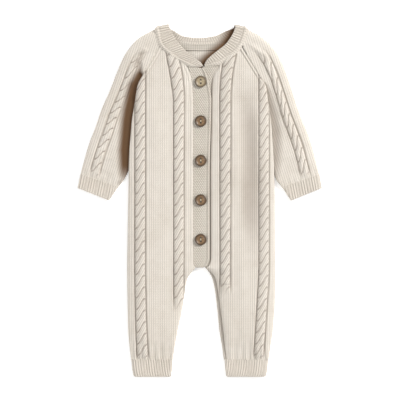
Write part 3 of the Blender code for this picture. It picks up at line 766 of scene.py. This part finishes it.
# ---------------------------------------------------------------- back
def back(material):
    """The back with both legs, with a raised seam along the left inside leg."""
    y = np.linspace(HEM_Y + 0.0001, 0.2405, 250)[:, None]
    top_of_crotch = CROTCH_ROWS[-1][0]
    right, left = (outer_x(side, y, BACK_SIDE_ROWS, 0.0004) for side in SIDES)
    inner_right, inner_left = (column(CROTCH_ROWS, which, y) for which in (1, 2))
    leg = closer_at_edges(46, 0.005, 0.012)[None, :]
    middle = np.linspace(0.0, 1.0, 9)[None, 1:-1]
    x = np.concatenate([right + leg * (inner_right - right),
                        inner_right + middle * (inner_left - inner_right),
                        inner_left + leg * (left - inner_left)], axis=1)
    edge_out = np.minimum(np.abs(x - right), np.abs(left - x))
    seam_y = straight(sorted((row[2], row[3]) for row in NECK_ROWS["back"]), 1, x)
    yy = y + (seam_y - 0.2387) * smooth_step((y - 0.222) / 0.0185)
    spread = np.maximum(yy - 0.2410, 0.0) * np.abs(x / 0.0615) ** 3
    x = x + spread * np.where(x < 0.0, -0.20, 0.31)
    below = yy < top_of_crotch
    from_right_leg = np.where(below, np.abs(x - inner_right), 1.0)
    from_left_leg = np.where(below, np.abs(x - inner_left), 1.0)
    nearest = np.minimum(np.minimum(edge_out, from_right_leg), from_left_leg)
    nearest = np.where(yy > top_of_crotch, np.minimum(edge_out, yy - top_of_crotch + 0.002),
                       nearest)
    wall = PANEL_WALL * (0.45 + 0.55 * rounding(nearest, 0.0020))
    seam = np.where((x > 0.0) & below, bell(from_left_leg - 0.0022, 0.0016), 0.0)
    floor_rise = 0.0006 * (1.0 - rounding(nearest, 0.0030))
    # painted shade on the back's strip beside the left inside leg
    inside_leg_shade = 0.16 * smooth_step((-0.100 - yy) / 0.010) * smooth_step(x / 0.004)
    shade = np.maximum(neck_shadow(x, yy), inside_leg_shade)
    keep = np.ones((x.shape[0] - 1, x.shape[1] - 1), bool)
    first = leg.shape[1] - 1
    keep[y[:-1, 0] < top_of_crotch, first:first + middle.shape[1] + 1] = False
    return closed_sheet("back_knit", stack(x, yy, wall + 0.0011 * seam),
                        stack(x, yy, floor_rise), stack(x / WALE, yy / COURSE, shade),
                        stack(x / WALE, yy / COURSE, 0.0), material, keep)


# ---------------------------------------------------------------- button bands, neck tape
def strip(name, table, row_count, ease, top_of, under_of, columns, material, corner, rise):
    """A strip of knit between two edges with rolled rims."""
    y = np.linspace(table[0][0], table[-1][0], row_count)[:, None]
    low_x = column(table, 1, y) - ease
    high_x = column(table, 2, y)
    share = closer_at_edges(columns, 0.0125, 0.03)[None, :]
    x = low_x + share * (high_x - low_x)
    lift = (corner * (1.0 - share) + rise * share ** 1.5) * smooth_step((y - 0.190) / 0.0145)
    y = y + lift
    top = top_of(x, y, np.abs(x - low_x), np.abs(high_x - x))
    knit = stack(x / WALE, y / COURSE, 0.0)
    return closed_sheet(name, stack(x, y, top), stack(x, y, under_of(x, y)), knit, knit,
                        material)


def band_right(material):
    """The top band, with a rolled free edge over the under band."""
    def under_of(x, y):
        return BAND_LEVEL

    def top_of(x, y, seam_distance, free_distance):
        ends = np.minimum(y - y.min() + 0.0004, y.max() - y + 0.0004)
        nearest = np.minimum(np.minimum(seam_distance, free_distance), ends)
        at_seam = seam_distance < np.minimum(free_distance, ends)
        wall = PANEL_WALL * np.where(at_seam, 0.80 + 0.20 * rounding(nearest, 0.0014),
                                     0.42 + 0.58 * rounding(nearest, 0.0018))
        roll = 0.0010 * bell(free_distance - 0.0021, 0.0014)
        groove = -0.0005 * bell(free_distance - 0.0052, 0.0010)
        seeds = 0.00022 * np.sin(x * 2.0 * math.pi / 0.0037) * np.sin(
            y * 2.0 * math.pi / 0.0034 + 1.5 * np.sin(x * 900.0))
        return BAND_LEVEL + wall + (roll + groove + seeds) * smooth_step(nearest / 0.0016)

    return strip("band_right_knit", BAND_TOP_ROWS, 340, 0.0006, top_of, under_of, 30,
                 material, 0.0035, 0.0)


def band_left(material):
    """The under band, which shows as a narrow strip beside the top one."""
    def under_of(x, y):
        return 0.0032 + 0.0014 * smooth_step((y - 0.190) / 0.012) * smooth_step(
            (x - 0.008) / 0.012)

    def top_of(x, y, hidden_distance, seam_distance):
        nearest = np.minimum(hidden_distance, seam_distance)
        return under_of(x, y) + PANEL_WALL * (0.45 + 0.55 * rounding(nearest, 0.0016))

    return strip("band_left_knit", BAND_UNDER_ROWS, 260, 0.0, top_of, under_of, 24,
                 material, 0.0020, 0.0095)


def neck_tape(material):
    """The plain strip inside the back neck, with a welt along its lower edge."""
    level = PANEL_WALL + 0.0003
    x = np.linspace(TAPE_ROWS[0][0], TAPE_ROWS[-1][0], 150)[:, None]
    low = column(TAPE_ROWS, 1, x)
    high = column(TAPE_ROWS, 2, x)
    y = low + np.linspace(0.0, 1.0, 22)[None, :] * (high - low)
    nearest = np.minimum(y - low, high - y)
    welt = 0.0006 * bell(y - low - 0.0011, 0.0008) * smooth_step(nearest / 0.001)
    groove = 0.0003 * bell(y - low - 0.0026, 0.0006)
    chain = 0.0007 * bell(high - y - 0.0012, 0.0009) * (0.6 + 0.4 * wave(x, 0.0026))
    top = level + TAPE_WALL * (0.5 + 0.5 * rounding(nearest, 0.0012)) + welt - groove + chain
    knit = stack(x / WALE, y / COURSE, neck_shadow(x, y))
    return closed_sheet("neck_tape_knit", stack(x, y, top), stack(x, y, level), knit, knit,
                        material)


# ---------------------------------------------------------------- sleeves and ribbed ends
def rail_rows(table, t):
    """Smooth rails of a tube at shares t of its length."""
    table = np.asarray(table, float)
    run = distance_along((table[:, 0:2] + table[:, 4:6]) / 2.0)
    return stack(*(smooth_curve(run / run[-1], values)(t) for values in table.T))


def tube_plan(rails, share):
    """Plan points across each row, distance from the outer fold and the row's length."""
    outer = rails[:, None, 0:2]
    corner = rails[:, None, 2:4]
    inner = rails[:, None, 4:6]
    share = share[None, :, None]
    first = outer + np.clip(share / CORNER_SHARE, 0.0, 1.0) * (corner - outer)
    rest = np.clip((share - CORNER_SHARE) / (1.0 - CORNER_SHARE), 0.0, 1.0)
    plan = first + rest * (inner - corner)
    reach = np.linalg.norm(corner - outer, axis=2)
    further = np.linalg.norm(inner - corner, axis=2)
    along = np.minimum(share[..., 0] / CORNER_SHARE, 1.0) * reach + rest[..., 0] * further
    return plan[..., 0], plan[..., 1], along, reach + further


def tube_height(distance, length, middle, edge, deep):
    """Upper height of a flattened tube without its relief. deep is 1 in the fold by the body."""
    level = SLEEVE_FLOOR + (middle - SLEEVE_FLOOR) * rounding(distance, 0.011)
    low = SLEEVE_FLOOR + (edge - SLEEVE_FLOOR) * rounding(length - distance, 0.003)
    return np.minimum(level, low + (np.maximum(middle, edge) - edge) * (1.0 - deep))


def wedge(side, x, y):
    """1 in the deep fold between sleeve and body, 0 outside it."""
    side_seam = straight(SIDE_ROWS, 1 + SIDES.index(side), y)
    edge = np.where(y <= SIDE_ROWS[-1][0], side_seam, raglan_x(side, y, 0.0))
    outward = OUTWARD[side] * (x - edge)
    start = straight(WEDGE_ROWS[side], 1, y)
    end = straight(WEDGE_ROWS[side], 2, y)
    return smooth_step((end + 0.0060 - outward) / 0.0140) * smooth_step(
        (outward - start + 0.0035) / 0.0075)


def flattened_tube(name, table, grid, edge, relief, material, side=None, floor_pitch=None):
    """A knit tube lying flat, with relief on its outer skin.

    A sleeve, which names its side, has the deep fold and stitches that run along its axis.
    In a ribbed end the stitches follow the tube's rows.
    """
    t = np.linspace(0.0, 1.0, grid[0])[:, None]
    rails = rail_rows(table, t[:, 0])
    middle = rails[:, 6:7]
    run = distance_along((rails[:, 0:2] + rails[:, 4:6]) / 2.0)[:, None]
    skins = []
    knits = []
    for kind in ("top", "floor", "inner_top", "inner_floor"):
        if kind in ("top", "floor"):
            share = closer_at_edges(grid[1], 0.010, 0.022, 0.04)
        else:
            share = 0.05 + 0.90 * np.linspace(0.0, 1.0, 14)
        x, y, distance, length = tube_plan(rails, share)
        deep = wedge(side, x, y) if side else 0.0
        height = tube_height(distance, length, middle, edge, deep)
        nearest = np.minimum(distance, length - distance)
        shade = 0.0
        if kind == "top":
            bump, shade = relief(x, y, distance, run, t, deep)
            z = height + bump * smooth_step(nearest / 0.003)
        elif kind == "floor":
            z = np.minimum(0.0018, height) * (1.0 - rounding(nearest, 0.0045))
            if floor_pitch:
                z = z + 0.0004 - 0.0003 * wave(distance, floor_pitch)
        elif kind == "inner_top":
            z = np.maximum(height - TUBE_WALL, TUBE_WALL + 0.0003)
        else:
            z = TUBE_WALL
        skins.append(stack(x, y, z))
        wale, course = distance, run
        if side:
            axis_x = -OUTWARD[side] * SLEEVE_AXIS[0]
            wale = x * SLEEVE_AXIS[1] - y * axis_x
            course = x * axis_x + y * SLEEVE_AXIS[1]
        knits.append(stack(wale / WALE, course / COURSE, shade))
    return closed_tube(name, skins, knits, material)


def sleeve(side, material):
    """A raglan sleeve with its cable, low and with painted shade beside the body."""
    # strength of the painted shade in the deep fold: full on the wearer's right sleeve, away
    # from the key light, less on the left
    depth = 1.0 if side == "right" else 0.42

    def relief(x, y, distance, run, t, deep):
        rope, groove_shade = cable_relief(-OUTWARD[side] * (distance - SLEEVE_CABLE_W), run,
                                    SLEEVE_CABLE_HALF)
        strength = smooth_step((0.90 - t) / 0.10) * smooth_step(t / 0.07)
        gather = np.sin(distance * 2.0 * math.pi / 0.0088) * smooth_step((0.10 - t) / 0.10)
        bump = rope * strength + folds(x, y, SLEEVE_FOLDS[side]) + 0.0004 * gather
        shade = groove_shade * strength
        if side == "right":
            # painted shade in the hollows of the right sleeve
            shade = np.maximum(shade, folds(x, y, SLEEVE_HOLLOW_SHADE))
        # painted shade in the deep fold beside the body, fading towards the shoulder and the
        # cuff
        fade = smooth_step((0.225 - y) / 0.03) * smooth_step((y - 0.008) / 0.048)
        return bump, np.maximum(shade, depth * deep * fade)

    return flattened_tube("sleeve_%s_knit" % side, SLEEVE_ROWS[side], (250, 100), 0.0042,
                          relief, material, side)


def ribbed_end(end, side, material):
    """A ribbed tube, its ribs running from the seam to the open end."""
    def relief(x, y, distance, run, t, deep):
        rib, dips = ribs(distance, RIB_PITCH[end])
        ends = smooth_step(np.minimum(t, 1.3 - t) / 0.08 + 0.25)
        # ribs in relief, with painted shade in the dips between them
        return (RIB_DEPTH[end] * rib * ends + 0.0003 * np.sin(distance * 130.0),
                0.13 * dips * ends)

    node = "%s_%s" % (end, side)
    return flattened_tube(node + "_knit", RIBBED_ROWS[node], RIB_GRID[end], 0.0044, relief,
                          material, None, RIB_PITCH[end])


# ---------------------------------------------------------------- neckband
def neck_path():
    """Free edge and sewn edge points round the neck, folded over at both shoulders."""
    def fold(start, end):
        made = []
        for degrees in (45.0, 90.0, 135.0):
            angle = math.radians(degrees)
            spot = start + (1.0 - math.cos(angle)) / 2.0 * (end - start)
            spot[[1, 3]] += abs(start[4] - end[4]) / 2.0 * math.sin(angle)
            made.append(spot)
        return made

    right, behind, left = (list(np.array(NECK_ROWS[part])) for part in ("right", "back", "left"))
    return np.array(right + fold(right[-1], behind[0]) + behind
                    + fold(behind[-1], left[0]) + left)


def neckband(material):
    """One ribbed strip with a chain of linking stitches along its sewn edge."""
    rows = neck_path()
    free = rows[:, [0, 1, 4]]
    sewn = rows[:, [2, 3, 4]]
    breadth = np.linalg.norm(sewn - free, axis=1)
    in_front = smooth_step((rows[:, 4] - 0.0055) / 0.0015) * smooth_step(
        (breadth - 0.007) / 0.004)
    sewn += (in_front / breadth)[:, None] * LINK_WIDTH * (sewn - free)
    sewn[:, 2] += 0.0016 * in_front
    run = distance_along((free + sewn) / 2.0)
    fine = np.linspace(0.0, run[-1], 620)
    free = stack(*(smooth_curve(run, values)(fine) for values in free.T))
    sewn = stack(*(smooth_curve(run, values)(fine) for values in sewn.T))
    broad = smooth_curve(run, in_front)(fine)[:, None]
    fine = fine[:, None]
    normal = np.cross(np.gradient((free + sewn) / 2.0, axis=0), sewn - free)
    normal /= np.linalg.norm(normal, axis=1)[:, None]
    share = closer_at_edges(21, 0.02)
    points = free[:, None, :] + share[None, :, None] * (sewn - free)[:, None, :]
    width = np.linalg.norm(sewn - free, axis=1)[:, None]
    across = share[None, :] * width
    from_sewn = width - across
    link = 0.0021 + 0.0022 * broad
    trench = 0.0044 + 0.0026 * broad
    rib, dips = ribs(fine, NECK_PITCH)
    ribbed = smooth_step((from_sewn - trench) / 0.0012)
    rib = 0.00048 * rib * ribbed * smooth_step(across / 0.0012 + 0.3)
    chain = 0.0012 * bell(from_sewn - link, 0.0012 + 0.0006 * broad) * (
        0.80 + 0.20 * wave(fine, 0.0032))
    groove = (-0.0008 * bell(from_sewn - trench, 0.0007)
              - 0.0009 * broad * (1.0 - smooth_step(from_sewn / 0.0026)))
    rim = rounding(np.minimum(across, from_sewn), 0.0014)
    wall = (NECK_THICKNESS / 2.0) * (0.25 + 0.75 * rim)
    full = smooth_step(width / 0.006) * rim
    outer = wall + (rib + chain + groove) * full
    inner = wall + (0.8 * rib - 0.3 * groove) * full
    top = points + outer[..., None] * normal[:, None, :]
    under = points - inner[..., None] * normal[:, None, :]
    top[..., 2] = np.maximum(top[..., 2], 0.0001)
    # painted shade in the dips between ribs, stronger on the wearer's right, where the ribs lie
    # along the light
    dips = np.where(points[..., 0] < 0.0, 0.30, 0.14) * dips * ribbed
    # painted shadow of the left front inside the neck, on the low part of the band behind it
    dark = np.maximum(neck_shadow(points[..., 0], points[..., 1]), dips)
    shade = np.where(points[..., 2] < 0.004, dark, dips)
    # painted shade in the trench beside the linking stitches
    shade = np.maximum(shade, 0.20 * bell(from_sewn - trench, 0.0009))
    knit = stack(fine / WALE, across / COURSE, shade)
    return closed_sheet("neckband_knit", top, under, knit, knit, material)


# ---------------------------------------------------------------- buttons
def button_body(name, material):
    """A turned button with a raised rim and two drilled holes."""
    outline = bpy.data.meshes.new(name)
    points = [(radius, 0.0, height) for radius, height in BUTTON_PROFILE]
    outline.from_pydata(points, [(at, at + 1) for at in range(len(points) - 1)], [])
    turned = add_object(name + "_turned", outline)
    screw = turned.modifiers.new("turn", "SCREW")
    screw.steps = BUTTON_TURNS
    screw.render_steps = BUTTON_TURNS
    screw.use_merge_vertices = True
    screw.merge_threshold = 0.00002
    drills = []
    for sign in (-1.0, 1.0):
        bpy.ops.mesh.primitive_cylinder_add(
            vertices=20, radius=HOLE_RADIUS, depth=0.02,
            location=(0.0, sign * HOLE_OFFSET, 0.0))
        drills.append(bpy.context.active_object)
        cut = turned.modifiers.new("hole", "BOOLEAN")
        cut.operation = "DIFFERENCE"
        cut.object = drills[-1]
    mesh = finished_mesh(turned)
    for drill in drills:
        bpy.data.objects.remove(drill, do_unlink=True)
    mesh.materials.clear()
    mesh.materials.append(material)
    mesh.set_sharp_from_angle(angle=math.radians(50.0))
    return add_object(name, mesh)


def thread_loops(name, place, material):
    """Three turns of sewing thread from hole to hole, with the ends going down."""
    curve = bpy.data.curves.new(name, "CURVE")
    curve.dimensions = "3D"
    curve.bevel_depth = 0.00024
    curve.bevel_resolution = 2
    curve.use_fill_caps = True
    face = BUTTON_PROFILE[0][1]
    for side_step in (-0.00042, 0.0, 0.00042):
        spline = curve.splines.new("POLY")
        spline.points.add(16)
        for at, point in enumerate(spline.points):
            angle = math.pi * at / 16.0
            point.co = (place.x + side_step * (0.6 + 0.4 * math.sin(angle)),
                        place.y - (HOLE_OFFSET - 0.0011) * math.cos(angle),
                        place.z + face - 0.0009 + 0.0015 * math.sin(angle) ** 0.6, 1.0)
    curve.materials.append(material)
    mesh = finished_mesh(add_object(name + "_curve", curve))
    builder = bmesh.new()
    builder.from_mesh(mesh)
    bmesh.ops.remove_doubles(builder, verts=builder.verts, dist=0.000001)
    builder.to_mesh(mesh)
    builder.free()
    return add_object(name, mesh)


# ---------------------------------------------------------------- materials
class Tree:
    """A small helper that adds and links the shader nodes of a new material."""

    def __init__(self, name):
        self.material = bpy.data.materials.new(name)
        self.material.use_nodes = True
        self.tree = self.material.node_tree
        self.shader = self.tree.nodes["Principled BSDF"]

    def node(self, kind, **settings):
        made = self.tree.nodes.new(kind)
        for name, value in settings.items():
            setattr(made, name, value)
        return made

    def place(self):
        return self.node("ShaderNodeTexCoord").outputs["Object"]

    def feed(self, source, socket):
        """Link an output, or set a number or a colour."""
        if isinstance(source, tuple):
            socket.default_value = (*source, 1.0)
        elif isinstance(source, (int, float)):
            socket.default_value = source
        else:
            self.tree.links.new(source, socket)

    def surface(self, **values):
        for name, value in values.items():
            self.feed(value, self.shader.inputs[name.replace("_", " ")])

    def math(self, operation, first, second=None):
        made = self.node("ShaderNodeMath", operation=operation)
        self.feed(first, made.inputs[0])
        if second is not None:
            self.feed(second, made.inputs[1])
        return made.outputs[0]

    def times(self, first, second):
        return self.math("MULTIPLY", first, second)

    def blend(self, *parts):
        """Sum of outputs times their weights."""
        total = 0.0
        for source, weight in parts:
            total = self.math("ADD", self.times(source, weight), total)
        return total

    def vector(self, operation, first, second=None):
        made = self.node("ShaderNodeVectorMath", operation=operation)
        self.feed(first, made.inputs[0])
        if second is not None:
            made.inputs[1].default_value = second
        return made.outputs["Value" if operation in ("LENGTH", "DISTANCE") else "Vector"]

    def mix(self, factor, first, second):
        made = self.node("ShaderNodeMix", data_type="RGBA")
        for source, name in ((factor, "Factor"), (first, "A"), (second, "B")):
            self.feed(source, made.inputs[name])
        return made.outputs["Result"]

    def noise(self, vector, scale, detail, roughness=0.5):
        made = self.node("ShaderNodeTexNoise")
        for source, name in ((scale, "Scale"), (detail, "Detail"), (roughness, "Roughness"),
                             (vector, "Vector")):
            self.feed(source, made.inputs[name])
        return made.outputs["Fac"]

    def ramp(self, source, *stops):
        """Colours, or greys given as one number, at places from 0 to 1."""
        made = self.node("ShaderNodeValToRGB")
        points = made.color_ramp.elements
        while len(points) < len(stops):
            points.new(0.5)
        for point, (place, colour) in zip(points, stops):
            point.position = place
            point.color = (*(colour if isinstance(colour, tuple) else (colour,) * 3), 1.0)
        self.feed(source, made.inputs["Fac"])
        return made.outputs["Color"]

    def bump(self, height, strength, distance):
        made = self.node("ShaderNodeBump")
        for source, name in ((strength, "Strength"), (distance, "Distance"), (height, "Height")):
            self.feed(source, made.inputs[name])
        self.feed(made.outputs["Normal"], self.shader.inputs["Normal"])


def shaded(colour, factor):
    """A colour made darker."""
    return tuple(factor * part for part in colour)


def knit_material(name, colours, stitch_depth, seeded):
    """Cotton knit: stockinette V stitches, or a seeded ground, with fuzz and mottling, and
    painted shade in the stitch recesses, between the wales of plain knit and where the knit
    attribute's third value asks for it.
    """
    light, dark = colours
    tree = Tree(name)
    knit = tree.node("ShaderNodeAttribute", attribute_name="knit", attribute_type="GEOMETRY")
    parts = tree.node("ShaderNodeSeparateXYZ")
    tree.feed(knit.outputs["Vector"], parts.inputs["Vector"])
    wale, course, shade = parts.outputs
    place = tree.place()
    if seeded:
        # every other stitch of a row stands out, and the next row is moved by one
        shifted = tree.math("ADD", wale, tree.times(tree.math("FLOOR", course), 0.5))
        across = tree.math("SINE", tree.times(shifted, 2.0 * math.pi))
        along = tree.math("SINE", tree.times(tree.math("FRACT", course), math.pi))
        stitch = tree.times(tree.math("ADD", tree.times(across, 0.5), 0.5), along)
    else:
        from_middle = tree.math("SUBTRACT", tree.math("FRACT", wale), 0.5)
        off_middle = tree.times(tree.math("ABSOLUTE", from_middle), 2.0)
        phase = tree.math("FRACT", tree.math("SUBTRACT", course, tree.times(off_middle, 0.9)))
        leg = tree.math("POWER", tree.math("SINE", tree.times(phase, math.pi)), 0.7)
        round_leg = tree.math("POWER", tree.math("SINE", tree.times(off_middle, math.pi)), 0.6)
        stitch = tree.times(leg, round_leg)
    fuzz = tree.noise(place, 1800.0, 3.0, 0.7)
    mottle = tree.noise(place, 55.0, 4.0, 0.6)
    cloud = tree.noise(place, 9.0, 2.0)
    # the stitch term paints shade into the stitch recesses; mottle, cloud and fuzz are random
    # tone
    depth = tree.blend((stitch, 0.34), (mottle, 0.30), (cloud, 0.20), (fuzz, 0.22))
    ground = tree.ramp(depth, (0.28, dark), (0.60, light))
    if not seeded:
        # painted shade in the grooves between wales
        between = tree.times(tree.math("POWER", off_middle, 4.0), 0.72)
        ground = tree.mix(between, ground, shaded(dark, 0.62))
    # painted shade from the knit attribute's third value, in folds, grooves and deep corners
    tree.surface(Base_Color=tree.mix(shade, ground, PAINTED_SHADE_BROWN), Roughness=0.92,
                 Specular_IOR_Level=0.25, Sheen_Weight=0.08, Sheen_Roughness=0.5)
    tree.bump(tree.blend((stitch, 0.85), (fuzz, 0.35)), 1.0, stitch_depth)
    return tree.material


def horn_material(name, light, dark, rim):
    """Polished horn: cloudy, streaked across, darker towards the rim, partly in its own tone and
    partly as painted shade, and with painted shade in the holes.
    """
    tree = Tree(name)
    place = tree.place()
    stretch = tree.node("ShaderNodeMapping")
    stretch.inputs["Scale"].default_value = (1.0, 3.2, 1.0)
    stretch.inputs["Rotation"].default_value = (0.0, 0.0, 0.5)
    tree.feed(place, stretch.inputs["Vector"])
    cloud = tree.noise(stretch.outputs["Vector"], 170.0, 5.0, 0.65)
    speck = tree.noise(place, 900.0, 2.0, 0.6)
    face = tree.ramp(tree.blend((cloud, 0.8), (speck, 0.2)), (0.36, rim), (0.66, light))
    flat = tree.vector("MULTIPLY", place, (1.0, 1.0, 0.0))
    radius = tree.times(tree.vector("LENGTH", flat), 100.0)      # in centimetres
    # darker towards the rim: partly the horn's own tone, partly painted shade at the rim's edge
    edge = tree.ramp(radius, (0.50, 0.0), (0.66, 0.55), (0.80, 0.75), (0.88, 1.0))
    # painted shade in and round the two holes
    to_hole = tree.vector("DISTANCE", tree.vector("ABSOLUTE", flat), (0.0, HOLE_OFFSET, 0.0))
    hole_shade = tree.ramp(tree.times(to_hole, 100.0), (0.125, 0.9), (0.19, 0.0))
    colour = tree.mix(hole_shade, tree.mix(edge, face, dark), shaded(dark, 0.35))
    rough = tree.math("ADD", tree.times(speck, 0.25), 0.25)
    tree.surface(Base_Color=colour, Roughness=rough)
    tree.bump(cloud, 0.15, 0.0003)
    return tree.material


def thread_material(name, colour):
    """Twisted cotton sewing thread."""
    tree = Tree(name)
    twist = tree.noise(tree.place(), 2500.0, 2.0)
    tone = tree.ramp(twist, (0.3, shaded(colour, 0.8)), (0.7, colour))
    tree.surface(Base_Color=tone, Roughness=0.8)
    tree.bump(twist, 0.5, 0.0002)
    return tree.material


# ---------------------------------------------------------------- floor, light, camera
def floor():
    """A plain white floor that gives off a little light, so that shadows stay faint."""
    bpy.ops.mesh.primitive_plane_add(size=8.0, location=(0.0, 0.0, -0.0006))
    made = bpy.context.active_object
    made.name = "floor"
    tree = Tree("floor_white")
    tree.surface(Base_Color=(0.95, 0.95, 0.95), Roughness=0.9, Specular_IOR_Level=0.0,
                 Emission_Color=(1.0, 1.0, 1.0), Emission_Strength=0.30)
    made.data.materials.append(tree.material)


def area_light(name, place, power, colour):
    """A soft round light aimed at the middle of the garment."""
    light = bpy.data.lights.new(name, "AREA")
    light.shape = "DISK"
    light.size = 1.4
    light.energy = power
    light.color = colour
    made = add_object(name, light)
    made.location = place
    made.rotation_euler = (-Vector(place)).to_track_quat("-Z", "Y").to_euler()


def lights():
    """A large key from the upper right, a weak fill and an even white sky."""
    area_light("key", (3.75, 2.55, 3.00), 306.0, (1.0, 0.99, 0.975))
    area_light("fill", (-1.4, -0.5, 1.5), 13.0, (1.0, 1.0, 1.0))
    world = bpy.data.worlds.new("sky")
    bpy.context.scene.world = world
    world.use_nodes = True
    background = world.node_tree.nodes["Background"]
    background.inputs["Color"].default_value = (1.0, 0.99, 0.975, 1.0)
    background.inputs["Strength"].default_value = 0.575


def camera():
    """Straight down over the garment, the neck at the top of the picture."""
    lens = bpy.data.cameras.new("camera")
    lens.lens = LENS
    lens.sensor_width = SENSOR
    lens.clip_start = 0.01
    lens.clip_end = 20.0
    made = add_object("camera", lens)
    made.location = (0.0004, 0.0, PICTURE_HEIGHT * LENS / SENSOR + 0.006)
    bpy.context.scene.camera = made
    bpy.context.scene.view_settings.view_transform = "Standard"


# ---------------------------------------------------------------- the garment
def dress():
    """Make every visible piece, attach each to the root body, and hide the CAD parts that they
    stand for.
    """
    cable_knit = knit_material("cable_knit", CREAM, 0.0009, False)
    rib_knit = knit_material("rib_knit", RIB, 0.0009, False)
    band_knit = knit_material("band_knit", BAND, 0.0010, True)
    tape_knit = knit_material("tape_knit", BAND, 0.0006, False)
    dark_horn = horn_material("horn_dark", (0.27, 0.165, 0.085), (0.050, 0.028, 0.013),
                              (0.120, 0.070, 0.034))
    light_horn = horn_material("horn_light", (0.43, 0.35, 0.23), (0.085, 0.058, 0.032),
                               (0.27, 0.21, 0.13))
    thread = thread_material("thread", (0.80, 0.70, 0.52))

    def take(piece, node):
        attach(piece, "root")
        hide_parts(node)

    take(back(cable_knit), "back")
    for side in SIDES:
        take(front(side, cable_knit), "front_" + side)
        take(sleeve(side, cable_knit), "sleeve_" + side)
    take(band_left(band_knit), "band_left")
    take(band_right(band_knit), "band_right")
    take(neck_tape(tape_knit), "neck_tape")
    take(neckband(rib_knit), "neckband")
    for end in ("cuff", "ankle"):
        for side in SIDES:
            take(ribbed_end(end, side, rib_knit), "%s_%s" % (end, side))

    for number in range(1, 6):
        node = "button_%d" % number
        low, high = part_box(node)
        place = Vector(((low.x + high.x) / 2.0, (low.y + high.y) / 2.0, low.z))
        top_one = number == 5
        piece = button_body(node + "_turned", light_horn if top_one else dark_horn)
        piece.location = place
        take(piece, node)
        loops = thread_loops("thread_%d" % number, place, thread)
        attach(loops, "root")


camera()
lights()
floor()
dress()
